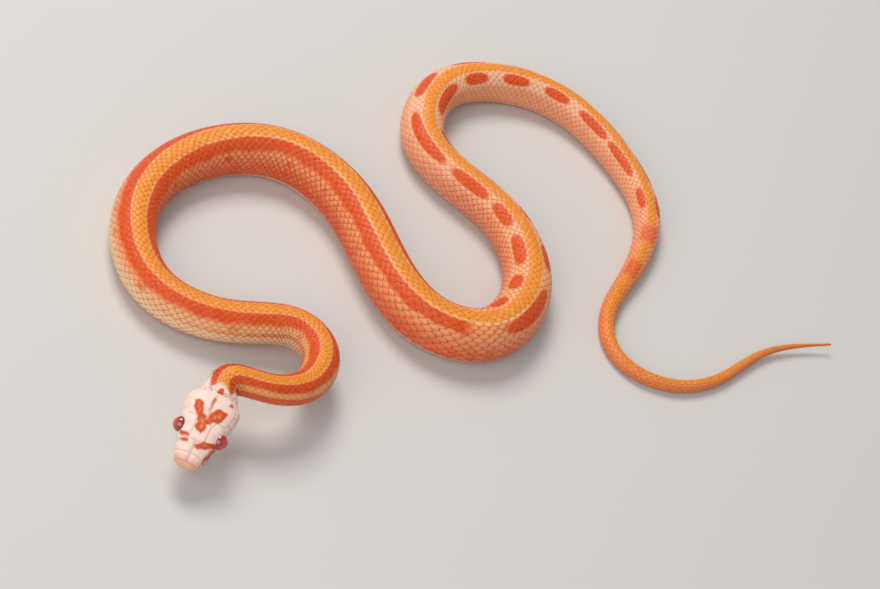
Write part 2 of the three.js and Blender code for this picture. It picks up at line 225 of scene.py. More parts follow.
class BellyLine:
    """The middle line of the belly: a cubic B-spline that starts and ends on its guides."""

    SAMPLES = 60

    def __init__(self, guides: Sequence[Sequence[float]]) -> None:
        """Samples the curve and measures it.

        Args:
            guides: Points x, y and clearance, in millimetres.
        """
        points = np.asarray(guides, dtype=float)
        points[:, :2] -= FLOOR_CENTRE
        ends = (2 * points[0] - points[1], 2 * points[-1] - points[-2])
        points = np.vstack([ends[0], points, ends[1]])
        u = np.linspace(0, 1, self.SAMPLES, endpoint=False)[:, None]
        weights = ((1 - u) ** 3, 3 * u**3 - 6 * u**2 + 4, -3 * u**3 + 3 * u**2 + 3 * u + 1, u**3)
        spans = [
            sum(weight / 6 * points[i + k] for k, weight in enumerate(weights))
            for i in range(len(points) - 3)
        ]
        self.points = np.vstack(spans + [points[-2:-1]])
        steps = np.linalg.norm(np.diff(self.points, axis=0), axis=1)
        self.distances = np.concatenate([[0], np.cumsum(steps)])
        self.length = float(self.distances[-1])
        self.tangents = unit(np.gradient(self.points, self.distances, axis=0))

    def frame(self, distance: np.ndarray) -> tuple[np.ndarray, np.ndarray, np.ndarray, np.ndarray]:
        """Finds the belly point and its directions.

        Args:
            distance: Distances behind the nape.

        Returns:
            The points and the backward, left and up directions, one row each.
        """
        at = np.clip(distance, 0, self.length)
        origin = np.stack([np.interp(at, self.distances, self.points[:, k]) for k in range(3)], 1)
        back = unit(np.stack([np.interp(at, self.distances, self.tangents[:, k]) for k in range(3)], 1))
        left = unit(np.stack([back[:, 1], -back[:, 0], np.zeros(len(back))], 1))
        up = unit(np.cross(left, back))
        return origin, back, left, up


@dataclass
class SnakeForm:
    """The outer shape of the whole snake, read by distance behind the nape and angle from the back.

    Distances below 0 lie on the head. Positive angles lie on the snake's left.
    """

    inset: float = 0.14
    inset_to_width: float = 0.1
    nape: tuple = (0.5, 3.0)
    line: BellyLine = field(init=False)
    end: float = field(init=False)

    def __post_init__(self) -> None:
        """Lays the line of the belly and fixes the head's frame to the first section of the body."""
        self.line = BellyLine(BELLY_GUIDES)
        self.end = self.line.length
        origin, back, left, up = self.line.frame(np.zeros(1))
        self.head_back, self.head_left, self.head_up = back[0], left[0], up[0]
        self.head_origin = origin[0] + up[0] * self.depth(np.zeros(1))[0]

    def width(self, distance: np.ndarray) -> np.ndarray:
        """Returns the width of the body at the distances."""
        return read_table(BODY_WIDTH, distance)[:, 0]

    def depth(self, distance: np.ndarray) -> np.ndarray:
        """Returns half the height of the body at the distances."""
        return self.width(distance) * HEIGHT_TO_WIDTH / 2

    def sink(self, distance: np.ndarray, more_at_nape: float) -> np.ndarray:
        """Finds how deep a layer lies under the outer shape.

        Args:
            distance: Distances behind the nape.
            more_at_nape: How much deeper it lies at the nape than elsewhere.

        Returns:
            The depth at each.
        """
        usual = np.minimum(self.inset, self.inset_to_width * self.width(distance))
        return usual + more_at_nape * fade(*self.nape, distance)

    def head_section(self, behind_snout: np.ndarray, angle: np.ndarray) -> np.ndarray:
        """Finds points of the head in its own frame.

        Args:
            behind_snout: Distances behind the snout.
            angle: Angles from the top.

        Returns:
            Rows of left, back and up, from the middle of the nape.
        """
        half_width, top, chin = read_table(HEAD_STATIONS, behind_snout).T
        nose = np.clip(1 - behind_snout / SNOUT_ROUNDING, 0, 1)
        close = np.maximum(1 - nose ** SNOUT_POWERS[0], 0) ** (1 / SNOUT_POWERS[1])
        blend = np.clip((behind_snout - BOXY_TO) / (HEAD_LENGTH - BOXY_TO), 0, 1)
        power = HEAD_BOXINESS + (1 - HEAD_BOXINESS) * blend
        height = np.where(np.cos(angle) > 0, top, chin)
        across = half_width * close * signed_power(np.sin(angle), power)
        up = height * close * signed_power(np.cos(angle), power)
        return np.stack([across, behind_snout - HEAD_LENGTH, up], 1)

    def head_place(self, local: np.ndarray) -> np.ndarray:
        """Turns rows of left, back and up in the head's frame to places."""
        axes = np.stack([self.head_left, self.head_back, self.head_up])
        return self.head_origin + local @ axes

    def surface(self, distance: np.ndarray, angle: np.ndarray) -> np.ndarray:
        """Finds points of the outer shape.

        Args:
            distance: Distances behind the nape, below 0 on the head.
            angle: Angles from the back, in radians.

        Returns:
            One row of x, y, z for each.
        """
        distance = np.asarray(distance, dtype=float)
        origin, _, left, up = self.line.frame(distance)
        depth = self.depth(distance)
        flatness = BELLY_FLATNESS * np.clip(distance / FLATTENING_LENGTH, 0, 1)
        across = self.width(distance) / 2 * np.sin(angle)
        height = np.maximum(depth * ((1 + flatness) * np.cos(angle) - flatness), -depth) + depth
        body = origin + left * across[:, None] + up * height[:, None]
        on_head = distance < 0
        if on_head.any():
            behind_snout = np.clip(HEAD_LENGTH + distance, 0, HEAD_LENGTH)
            head = self.head_place(self.head_section(behind_snout, angle))
            body = np.where(on_head[:, None], head, body)
        return body

    def directions(self, distance: np.ndarray, angle: np.ndarray) -> tuple[np.ndarray, np.ndarray]:
        """Finds the outward and backward directions of the surface.

        Args:
            distance: Distances behind the nape.
            angle: Angles from the back.

        Returns:
            The outward normals and the directions along the body.
        """
        step, turn = 0.05, 0.02
        along = self.surface(distance + step, angle) - self.surface(distance - step, angle)
        round_ = self.surface(distance, angle + turn) - self.surface(distance, angle - turn)
        return unit(np.cross(round_, along)), unit(along)


class Side(Enum):
    """The two sides of the snake, by the sign of their angles."""

    LEFT = 1
    RIGHT = -1


@dataclass(frozen=True)
class Markings:
    """Where the pattern lies, in millimetres behind the nape and degrees from the back.

    A pair of numbers says where a change starts and where it is complete.
    """

    NAMES: ClassVar[tuple] = ("band", "dark", "pale", "rear", "spots", "belly", "tail", "nape", "low",
                              "cream", "deep", "plain")
    edge: float = 2.2
    edge_waves: tuple = ((0.8, 1.9, 0), (0.9, 0.73, 1))
    wave_share: float = 0.6
    lean_to_far_side: float = 7.0
    lean_length: float = 20.0
    vent: tuple = (212, 238)
    rear: tuple = (110, 180)
    belly: tuple = (108, 124)
    # low sets where the flank turns deeper red, partly its own colour and partly painted shade towards the
    # floor.
    low: tuple = (50, 100)

    band_half: float = 17.0
    band_wider_on_tail: float = 10.0

    stripe_top: float = 21.5
    stripe_bottom: float = 51.0
    stripe_bottom_wave: float = 2.0
    stripe_end: tuple = (119, 121)
    stripe_soft: float = 3.0
    front: tuple = (70, 125)
    front_wider: float = 4.0
    front_softer: float = 5.0

    blotch_middle: float = 38.0
    blotch_half: float = 16.5
    blotch_power: float = 2.6
    blotch_edge: tuple = (0.86, 1.14)
    left_blotches: tuple = (
        (124.0, 133.5), (136.8, 141.1), (144.7, 147.6), (150.5, 155.5), (158.5, 164.0),
        (167.8, 176.0), (178.1, 182.6), (185.2, 189.6), (192.2, 196.5), (198.7, 204.7),
        (205.2, 211.9), (214.1, 218.0),
    )
    right_blotches: tuple = (
        (124.5, 128.5), (130.8, 134.3), (136.5, 142.6), (144.4, 149.1), (150.4, 156.8),
        (158.0, 166.6), (169.5, 175.4), (178.5, 183.5), (186.0, 190.5), (193.5, 198.0),
        (200.5, 206.5), (208.5, 213.5), (215.5, 219.0),
    )
    saddles: tuple = ((220.9, 224.4), (228.0, 231.5))
    saddle_sides: tuple = (30, 52)
    saddle_edge: tuple = (0.6, 1.25)
    saddle_dark: float = 0.75
    saddle_over_band: float = 0.8

    # The pale line beside the band is partly paler ground and partly painted highlight, strongest between
    # pale_line_strong and pale_line_weak.
    pale_line_half: float = 2.6
    pale_line_waves: tuple = ((1.2, 0.9, 0),)
    pale_line_least: float = 0.35
    pale_line_more: float = 0.6
    pale_line_strong: tuple = (60, 84)
    pale_line_weak: tuple = (122, 140)
    pale_round_blotches: float = 22.0
    pale_round_from: tuple = (122, 132)
    pale_share: float = 0.4
    pale_gone: tuple = (196, 222)
    pale_gone_share: float = 0.85
    golden_half: float = 11.0
    golden_end: tuple = (34, 50)

    spot_middle: float = 68.0
    spot_half: float = 7.0
    spot_waves: tuple = ((0.5, 0.62, 0), (0.5, 1.7, 2))
    spot_edge: tuple = (0.45, 0.9)
    spots_end: tuple = (92, 112)
    low_line_middle: float = 84.0
    low_line_end: tuple = (28, 48)
    low_line_share: float = 0.7

    nape: tuple = (0.4, 1.5)
    nape_notch: float = 0.9
    nape_notch_side: tuple = (8, 30)
    nape_lobe: float = 1.6
    nape_lobe_side: tuple = (30, 60)
    nape_spot_place: tuple = (-0.25, 2.5)
    nape_spot_size: tuple = (0.45, 8.5)
    nape_spot_edge: tuple = (0.8, 1.15)

    loop_start: tuple = (12, 24)
    cream_end: tuple = (60, 78)
    cream_side: tuple = (52, 92)
    # The deep mask is painted shade, with the wood's warm bounce, on the inner side of the first coil.
    shade_end: tuple = (50, 68)
    shade_side: tuple = (20, 44)

    # How much the band, the dark, the tail's colour, the head's and the pale each hide scale rims, which are
    # partly painted highlight, and the painted shade between scales.
    plain_less: tuple = (0.75, 0.85, 0.4, 0.5, 0.5)
    plain_least: float = 0.08
    plain_neck: tuple = (8, 24)
    plain_neck_least: float = 0.4
    plain_rear: tuple = (150, 180)
    plain_rear_less: float = 0.4
    plain_shade_less: float = 0.5

    def read(self, form: SnakeForm, distance: np.ndarray, angle: np.ndarray) -> dict[str, np.ndarray]:
        """Reads the pattern.

        Args:
            form: The snake's shape, for the way that the body lies.
            distance: Distances behind the nape.
            angle: Angles from the back, in radians.

        Returns:
            Masks from 0 to 1, one for each of the names.
        """
        _, _, left, _ = form.line.frame(distance)
        lean = self.lean_to_far_side * left[:, 1] * np.clip(distance / self.lean_length, 0, 1)
        degrees = np.degrees(angle) - lean
        off = np.abs(degrees)
        wave = waves(distance, self.edge_waves)
        past_vent = smooth_step(*self.vent, distance)
        saddles = self._saddles(distance, off)
        nape_spot = self._nape_spot(distance, degrees)
        band_half = self.band_half + self.wave_share * wave + self.band_wider_on_tail * past_vent
        band = fade(band_half - self.edge, band_half + self.edge, off)
        band *= (1 - self.saddle_over_band * saddles) * (1 - nape_spot)
        dark = np.maximum(self._stripe(distance, off, wave), self._blotches(distance, degrees))
        dark = np.maximum(np.maximum(dark, self.saddle_dark * saddles), nape_spot)
        pale = self._pale(distance, off, band_half)
        nape = self._nape(distance, off) * (1 - nape_spot)
        on_loop = smooth_step(*self.loop_start, distance)
        cream = on_loop * fade(*self.cream_end, distance) * smooth_step(*self.cream_side, -degrees)
        # Painted shade on the first coil's inner flank.
        deep = on_loop * fade(*self.shade_end, distance) * smooth_step(*self.shade_side, degrees)
        plain = np.ones(len(distance))
        for share, mask in zip(self.plain_less, (band, dark, past_vent, nape, pale)):
            plain -= share * mask
        plain = self._plain_by_place(plain, distance, deep)
        return {
            "band": band, "dark": dark * (1 - band), "pale": pale * (1 - dark),
            "rear": smooth_step(*self.rear, distance), "spots": self._spots(distance, off),
            "belly": smooth_step(*self.belly, off), "tail": past_vent, "nape": nape,
            "low": smooth_step(*self.low, off), "cream": cream, "deep": deep, "plain": plain,
        }

    def _strip(self, off: np.ndarray, middle: float | np.ndarray, half: float | np.ndarray) -> np.ndarray:
        """Returns 1 inside a strip along the body and 0 outside it."""
        return fade(-self.edge, self.edge, np.abs(off - middle) - half)

    @staticmethod
    def _along(distance: np.ndarray, start: float, stop: float) -> np.ndarray:
        """Returns 0 in the middle of a span and 1 at either end of it."""
        return np.abs(distance - (start + stop) / 2) / ((stop - start) / 2)

    def _stripe(self, distance: np.ndarray, off: np.ndarray, wave: np.ndarray) -> np.ndarray:
        """Returns 1 inside the dark stripe beside the band, which has a softer lower edge in front.

        Args:
            distance: Distances behind the nape.
            off: Degrees away from the back, on either side.
            wave: The unevenness of the markings' edges.

        Returns:
            The mask.
        """
        front = fade(*self.front, distance)
        bottom = self.stripe_bottom + self.stripe_bottom_wave * wave + self.front_wider * front
        soft = self.stripe_soft + self.front_softer * front
        top = self.stripe_top
        inside = smooth_step(top - self.edge, top + self.edge, off + self.wave_share * wave)
        return inside * fade(bottom - soft, bottom + soft, off) * fade(*self.stripe_end, distance)

    def _blotches(self, distance: np.ndarray, degrees: np.ndarray) -> np.ndarray:
        """Returns 1 inside the rounded blotches of both sides and 0 outside them.

        Args:
            distance: Distances behind the nape.
            degrees: Degrees from the back, above 0 on the left.

        Returns:
            The mask.
        """
        inside, power = np.zeros(len(distance)), self.blotch_power
        for spans, side in ((self.left_blotches, Side.LEFT), (self.right_blotches, Side.RIGHT)):
            across = np.abs(degrees * side.value - self.blotch_middle) / self.blotch_half
            for start, stop in spans:
                reach = (self._along(distance, start, stop) ** power + across**power) ** (1 / power)
                inside = np.maximum(inside, fade(*self.blotch_edge, reach))
        return inside

    def _saddles(self, distance: np.ndarray, off: np.ndarray) -> np.ndarray:
        """Returns 1 inside the saddles across the start of the tail and 0 outside them."""
        spans = [fade(*self.saddle_edge, self._along(distance, *span)) for span in self.saddles]
        return fade(*self.saddle_sides, off) * np.maximum.reduce(spans)

    def _pale(self, distance: np.ndarray, off: np.ndarray, band_half: np.ndarray) -> np.ndarray:
        """Returns how pale the ground is beside the band, where the line is partly painted highlight, round
        the blotches and low on the neck.

        Args:
            distance: Distances behind the nape.
            off: Degrees away from the back, on either side.
            band_half: Half the band's width there.

        Returns:
            The mask.
        """
        half = self.pale_line_half
        line = self._strip(off, band_half + half, half + waves(distance, self.pale_line_waves))
        strong = smooth_step(*self.pale_line_strong, distance) * fade(*self.pale_line_weak, distance)
        line *= self.pale_line_least + self.pale_line_more * strong
        blotched = self._strip(off, self.blotch_middle, self.pale_round_blotches)
        blotched *= smooth_step(*self.pale_round_from, distance)
        pale = np.maximum(line, self.pale_share * blotched)
        pale *= 1 - self.pale_gone_share * smooth_step(*self.pale_gone, distance)
        golden = self._strip(off, self.spot_middle, self.golden_half) * fade(*self.golden_end, distance)
        return np.maximum(pale, self.pale_share * golden)

    def _spots(self, distance: np.ndarray, off: np.ndarray) -> np.ndarray:
        """Returns how strongly the row of low spots and the low line of the neck show.

        Args:
            distance: Distances behind the nape.
            off: Degrees away from the back, on either side.

        Returns:
            The mask.
        """
        spots = self._strip(off, self.spot_middle, self.spot_half)
        spots *= smooth_step(*self.spot_edge, waves(distance, self.spot_waves))
        low_line = self._strip(off, self.low_line_middle, self.spot_half) * fade(*self.low_line_end, distance)
        return np.maximum(spots * fade(*self.spots_end, distance), self.low_line_share * low_line)

    def _nape(self, distance: np.ndarray, off: np.ndarray) -> np.ndarray:
        """Returns 1 where the head's colour reaches back over the nape, with a notch and two lobes.

        Args:
            distance: Distances behind the nape.
            off: Degrees away from the back, on either side.

        Returns:
            The mask.
        """
        notch = self.nape_notch * smooth_step(*self.nape_notch_side, off)
        lobe = self.nape_lobe * smooth_step(*self.nape_lobe_side, off)
        return fade(*self.nape, distance + notch - lobe)

    def _nape_spot(self, distance: np.ndarray, degrees: np.ndarray) -> np.ndarray:
        """Returns 1 inside the dark spot in the middle of the nape and 0 outside it."""
        (place, side), (length, breadth) = self.nape_spot_place, self.nape_spot_size
        return fade(*self.nape_spot_edge, np.hypot((distance - place) / length, (degrees - side) / breadth))

    def _plain_by_place(self, plain: np.ndarray, distance: np.ndarray, deep: np.ndarray) -> np.ndarray:
        """Lessens how strongly the scales' rims, partly painted highlight, and the painted shade in their
        gaps show on the neck, behind and in the painted shade of the first coil.

        Args:
            plain: How strongly they show by the markings.
            distance: Distances behind the nape.
            deep: The mask of the painted shade on the first coil's inner flank.

        Returns:
            How strongly they show.
        """
        plain = np.maximum(plain, self.plain_least)
        least = self.plain_neck_least
        plain *= least + (1 - least) * smooth_step(*self.plain_neck, distance)
        plain *= 1 - self.plain_rear_less * smooth_step(*self.plain_rear, distance)
        return plain * (1 - self.plain_shade_less * deep)


def make_mesh(name: str, vertices: np.ndarray, faces: Iterable[Sequence[int]],
              smooth: bool = True) -> bpy.types.Object:
    """Makes an object from vertices in millimetres.

    Args:
        name: The piece's name.
        vertices: Rows of x, y, z.
        faces: Corners of each face.
        smooth: Whether its faces shade smoothly.

    Returns:
        The new object, linked to the scene.
    """
    mesh = bpy.data.meshes.new(name)
    mesh.from_pydata((vertices * MM).tolist(), [], faces)
    mesh.validate()
    if smooth:
        mesh.shade_smooth()
    piece = bpy.data.objects.new(name, mesh)
    bpy.context.scene.collection.objects.link(piece)
    return piece


def add_values(mesh: bpy.types.Mesh, values: dict[str, np.ndarray]) -> None:
    """Stores one number for each vertex under each name."""
    for name, numbers in values.items():
        attribute = mesh.attributes.new(name, "FLOAT", "POINT")
        attribute.data.foreach_set("value", np.asarray(numbers, dtype=np.float32))


def add_vectors(mesh: bpy.types.Mesh, values: dict[str, np.ndarray]) -> None:
    """Stores one vector for each vertex under each name."""
    for name, vectors in values.items():
        attribute = mesh.attributes.new(name, "FLOAT_VECTOR", "POINT")
        attribute.data.foreach_set("vector", np.asarray(vectors, dtype=np.float32).ravel())


def add_unwrap(mesh: bpy.types.Mesh, places: np.ndarray) -> None:
    """Stores an unwrap, read from one u, v for each vertex.

    Args:
        mesh: The mesh.
        places: One u, v for each vertex.
    """
    layer = mesh.uv_layers.new(name="OFBake")
    corners = np.empty(len(mesh.loops), dtype=np.int32)
    mesh.loops.foreach_get("vertex_index", corners)
    layer.data.foreach_set("uv", places[corners].astype(np.float32).ravel())


class Shade:
    """A value in a material, on which sums can be written."""

    def __init__(self, maker: "ShaderMaker", socket: bpy.types.NodeSocket) -> None:
        """Wraps one output socket.

        Args:
            maker: The material being made.
            socket: The output.
        """
        self.maker, self.socket = maker, socket

    def _math(self, operation: str, a: object, b: object) -> "Shade":
        """Adds a Math node for a sum on two values."""
        return self.maker.node("ShaderNodeMath", {"operation": operation}, {0: a, 1: b})

    def __add__(self, other: object) -> "Shade":
        """Returns the sum."""
        return self._math("ADD", self, other)

    def __sub__(self, other: object) -> "Shade":
        """Returns the difference."""
        return self._math("SUBTRACT", self, other)

    def __rsub__(self, other: object) -> "Shade":
        """Returns the difference from a number."""
        return self._math("SUBTRACT", other, self)

    def __mul__(self, other: object) -> "Shade":
        """Returns the product."""
        return self._math("MULTIPLY", self, other)

    __radd__, __rmul__ = __add__, __mul__


class ShaderMaker:
    """Makes one material out of nodes."""

    def __init__(self, name: str) -> None:
        """Starts an empty material.

        Args:
            name: The material's name.
        """
        self.material = bpy.data.materials.new(name)
        self.material.use_nodes = True
        self.tree = self.material.node_tree
        self.tree.nodes.clear()

    def node(self, kind: str, settings: dict | None = None, inputs: dict | None = None,
             output: int | str = 0) -> Shade:
        """Adds one node.

        Args:
            kind: The node's type.
            settings: Its settings, set first.
            inputs: Numbers, colours or other values for its sockets.
            output: Which output to return.

        Returns:
            That output.
        """
        node = self.tree.nodes.new(kind)
        for key, value in (settings or {}).items():
            setattr(node, key, value)
        for key, value in (inputs or {}).items():
            if isinstance(value, Shade):
                self.tree.links.new(value.socket, node.inputs[key])
            else:
                node.inputs[key].default_value = value
        return Shade(self, node.outputs[output])

    def value(self, name: str) -> Shade:
        """Reads a number stored on the mesh."""
        return self.node("ShaderNodeAttribute", {"attribute_name": name}, output="Fac")

    def place(self) -> Shade:
        """Reads the place on the snake."""
        return self.node("ShaderNodeTexCoord", output="Object")

    def mix(self, factor: Shade | float, a: object, b: object) -> Shade:
        """Mixes two colours, the second by the factor."""
        return self.node("ShaderNodeMix", {"data_type": "RGBA"}, {0: factor, 6: a, 7: b}, output=2)

    def leaf_place(self) -> tuple[Shade, Shade]:
        """Reads where a point lies on its scale: behind its middle, and out to either side of it.

        Returns:
            The two, in lengths and widths of a scale.
        """
        leaf = self.node("ShaderNodeAttribute", {"attribute_name": "leaf"}, output="Vector")
        along = self.node("ShaderNodeSeparateXYZ", {}, {"Vector": leaf}, output="X")
        across = self.node("ShaderNodeSeparateXYZ", {}, {"Vector": leaf}, output="Y")
        return along, self.node("ShaderNodeMath", {"operation": "ABSOLUTE"}, {0: across})

    def ramp(self, value: Shade, low: float, high: float) -> Shade:
        """Returns 0 below low, 1 above high and a smooth rise between."""
        return self.node("ShaderNodeMapRange", {"interpolation_type": "SMOOTHSTEP"},
                         {"Value": value, "From Min": low, "From Max": high})

    def noise(self, size_mm: float, detail: float = 2.0) -> Shade:
        """Returns soft noise whose features are about the size given."""
        return self.node("ShaderNodeTexNoise", {}, {
            "Vector": self.place(), "Scale": 1 / (size_mm * MM), "Detail": detail,
        })

    def bump(self, height: Shade, depth_mm: float, strength: float) -> Shade:
        """Turns a height to a normal."""
        return self.node("ShaderNodeBump", {}, {
            "Height": height, "Distance": depth_mm * MM, "Strength": strength,
        })

    def surface(self, inputs: dict, constants: dict) -> bpy.types.Material:
        """Ends the material with its surface.

        Args:
            inputs: What changes over the surface, by socket.
            constants: What is the same all over, by socket.

        Returns:
            The finished material.
        """
        shader = self.node("ShaderNodeBsdfPrincipled", {}, {**constants, **inputs})
        output = self.tree.nodes.new("ShaderNodeOutputMaterial")
        self.tree.links.new(shader.socket, output.inputs["Surface"])
        return self.material


def spread(value: Shade, low: float, high: float) -> Shade:
    """Returns low where the value is 0 and high where it is 1."""
    return value * (high - low) + low


@dataclass(frozen=True)
class Mottle:
    """Soft patches of a second colour: their size, where they start and are full, and how strong."""

    size_mm: float
    low: float
    high: float
    strength: float
    detail: float = 2.0

    def read(self, maker: ShaderMaker) -> Shade:
        """Returns how much of the second colour shows."""
        return maker.ramp(maker.noise(self.size_mm, self.detail), self.low, self.high) * self.strength


Colour = tuple[float, float, float, float]


def rgb(red: float, green: float, blue: float) -> Colour:
    """Returns a colour from its linear parts."""
    return (red, green, blue, 1.0)


@dataclass(frozen=True)
class SnakeColours:
    """The colours of a corn snake with no black in it."""

    band: Colour = rgb(0.84, 0.25, 0.016)
    band_light: Colour = rgb(0.92, 0.42, 0.060)
    stripe: Colour = rgb(0.68, 0.060, 0.004)
    stripe_light: Colour = rgb(0.84, 0.155, 0.016)
    flank: Colour = rgb(0.94, 0.31, 0.115)
    # flank_low_and_shade: a deeper red low on the flanks, partly the snake's own colour and partly painted
    # shade towards the floor.
    flank_low_and_shade: Colour = rgb(0.82, 0.095, 0.014)
    # flank_rim and rear_rim: the scales' pale free edges, partly their own paler edge and partly painted
    # highlight.
    flank_rim: Colour = rgb(0.95, 0.38, 0.18)
    # flank_shade: painted shade, with the wood's warm bounce, for the first coil's inner flank.
    flank_shade: Colour = rgb(0.54, 0.040, 0.005)
    cream: Colour = rgb(0.98, 0.62, 0.33)
    rear_ground: Colour = rgb(0.90, 0.35, 0.165)
    rear_rim: Colour = rgb(0.96, 0.58, 0.40)
    pale: Colour = rgb(0.93, 0.56, 0.20)
    pale_rear: Colour = rgb(0.94, 0.62, 0.42)
    tail: Colour = rgb(0.90, 0.20, 0.018)
    belly: Colour = rgb(0.86, 0.50, 0.36)
    # between and between_shade_rear are painted shade for the gaps between scales and where each scale comes
    # out from under the last.
    between: Colour = rgb(0.40, 0.060, 0.014)
    between_shade_rear: Colour = rgb(0.66, 0.13, 0.045)
    head: Colour = rgb(0.93, 0.71, 0.61)
    head_warm: Colour = rgb(0.86, 0.50, 0.37)
    snout: Colour = rgb(0.80, 0.42, 0.27)
    head_seam: Colour = rgb(0.64, 0.27, 0.20)
    head_blotch: Colour = rgb(0.62, 0.075, 0.008)
    head_blotch_light: Colour = rgb(0.84, 0.24, 0.10)


@dataclass(frozen=True)
class SnakeSkin:
    """The finish of the scales, of the skin between them and of the head.

    A pair of numbers is the least and the most of what it names. Places on a scale are in its lengths.
    """

    colours: SnakeColours = SnakeColours()
    scale_roughness: tuple = (0.33, 0.51)
    skin_roughness: tuple = (0.30, 0.45)
    subsurface: float = 0.08
    subsurface_radius: tuple = (1.0, 0.35, 0.2)
    subsurface_mm: float = 0.4
    specular: float = 0.28

    stripe_mottle: Mottle = Mottle(0.3, 0.42, 0.72, 0.7, 3.0)
    band_mottle: Mottle = Mottle(0.55, 0.45, 0.75, 0.7)
    head_mottle: Mottle = Mottle(0.22, 0.42, 0.75, 0.5, 3.0)
    blotch_mottle: Mottle = Mottle(0.5, 0.35, 0.65, 1.0)

    # rim: how strongly the pale free edges show, partly painted highlight.
    rim: tuple = (0.3, 0.65)
    paler_scales: float = 0.3
    # under_shade_edge and under set where and how strongly each scale's root takes the painted shade of the
    # gap.
    under_shade_edge: tuple = (-0.38, -0.10)
    under: tuple = (0.1, 0.85)
    seam: float = 0.6
    belly_mottle: float = 0.4
    belly_edge: float = 0.7

    dome_top: float = 0.14
    dome_along: float = 5.0
    dome_across: float = 4.0
    dome_share: tuple = (0.45, 1.0)
    grain: float = 0.12
    dome_mm: float = 0.12
    dome_strength: float = 0.8
    skin_bump: tuple = (0.08, 0.6)
    belly_bump: tuple = (0.01, 0.3)

    def ground(self, maker: ShaderMaker) -> Shade:
        """Mixes the body's colours from the pattern stored on the mesh.

        Args:
            maker: The material being made.

        Returns:
            The colour.
        """
        c = self.colours
        stripe = maker.mix(self.stripe_mottle.read(maker), c.stripe, c.stripe_light)
        band = maker.mix(self.band_mottle.read(maker), c.band, c.band_light)
        pale = maker.mix(maker.value("rear"), c.pale, c.pale_rear)
        # Low on the flanks the ground turns deeper red: partly its own colour, partly painted shade.
        ground = maker.mix(maker.value("low"), c.flank, c.flank_low_and_shade)
        # deep lays on the painted shade of the first coil's inner flank.
        for name, colour in (
            ("deep", c.flank_shade), ("cream", c.cream), ("rear", c.rear_ground), ("tail", c.tail),
            ("spots", stripe), ("pale", pale), ("band", band), ("dark", stripe), ("nape", c.head),
        ):
            ground = maker.mix(maker.value(name), ground, colour)
        return ground

    def gap_shade(self, maker: ShaderMaker) -> Shade:
        """Mixes the painted shade for the gaps between the scales, which is lighter behind and, in the
        plates' seam colour, on the nape.

        Args:
            maker: The material being made.

        Returns:
            The colour of the painted shade.
        """
        c = self.colours
        gap_shade = maker.mix(maker.value("rear"), c.between, c.between_shade_rear)
        return maker.mix(maker.value("nape"), gap_shade, c.head_seam)

    def constants(self) -> dict:
        """Returns what is the same all over the skin."""
        return {
            "Subsurface Weight": self.subsurface,
            "Subsurface Radius": self.subsurface_radius,
            "Subsurface Scale": self.subsurface_mm * MM,
            "Specular IOR Level": self.specular,
        }

    def scales(self) -> bpy.types.Material:
        """Makes the finish of the body's scales, with painted shade where each comes out from under the last.

        Returns:
            The material.
        """
        maker = ShaderMaker("scale_skin")
        c = self.colours
        plain, rear = maker.value("plain"), maker.value("rear")
        # Pale free edge of each scale: partly its own paler edge, partly painted highlight.
        rim_and_highlight_colour = maker.mix(rear, c.flank_rim, c.rear_rim)
        rim_and_highlight_colour = maker.mix(maker.value("cream"), rim_and_highlight_colour, c.cream)
        rim = maker.value("rim") * plain * spread(rear, *self.rim)
        colour = maker.mix(rim, self.ground(maker), rim_and_highlight_colour)
        colour = maker.mix(maker.value("chance") * plain * self.paler_scales, colour, rim_and_highlight_colour)
        along, across = maker.leaf_place()
        # Painted shade where the scale comes out from under the one before it.
        under = 1.0 - maker.ramp(along - across, *self.under_shade_edge)
        colour = maker.mix(under * spread(plain, *self.under), colour, self.gap_shade(maker))
        behind = along - self.dome_top
        dome = 1.0 - (behind * behind * self.dome_along + across * across * self.dome_across)
        height = dome * spread(plain, *self.dome_share) + maker.noise(0.12, 3.0) * self.grain
        return maker.surface({
            "Base Color": colour,
            "Roughness": spread(maker.noise(0.35), *self.scale_roughness),
            "Normal": maker.bump(height, self.dome_mm, self.dome_strength),
        }, self.constants())

    def between(self) -> bpy.types.Material:
        """Makes the finish of the skin: bare between the scales, where it carries the painted shade of the
        gaps, and plated on the head.

        Returns:
            The material.
        """
        maker = ShaderMaker("skin")
        c = self.colours
        bare = maker.mix(maker.value("belly"), self.gap_shade(maker), c.belly)
        plate = maker.mix(self.head_mottle.read(maker), c.head, c.head_warm)
        plate = maker.mix(maker.value("snout"), plate, c.snout)
        core = maker.value("blotch_core") * self.blotch_mottle.read(maker)
        blotch = maker.mix(core, c.head_blotch, c.head_blotch_light)
        plate = maker.mix(maker.value("head_blotch"), plate, blotch)
        # The seam mask darkens plate seams and paints shade into the mouth, lids and nostrils.
        plate = maker.mix(maker.value("seam") * self.seam, plate, c.head_seam)
        height = maker.noise(0.15, 3.0) * 0.4 + maker.noise(0.6)
        return maker.surface({
            "Base Color": maker.mix(maker.value("on_head"), bare, plate),
            "Roughness": spread(maker.noise(0.4), *self.skin_roughness),
            "Normal": maker.bump(height, *self.skin_bump),
        }, self.constants())

    def belly(self) -> bpy.types.Material:
        """Makes the finish of the belly plates.

        Returns:
            The material.
        """
        maker = ShaderMaker("belly_plate")
        c = self.colours
        colour = maker.mix(maker.noise(1.6) * self.belly_mottle, c.belly, c.rear_rim)
        colour = maker.mix(maker.value("flank_edge") * self.belly_edge, colour, c.rear_ground)
        return maker.surface({
            "Base Color": colour,
            "Roughness": spread(maker.noise(0.4), *self.skin_roughness),
            "Normal": maker.bump(maker.noise(0.2, 3.0), *self.belly_bump),
        }, self.constants())


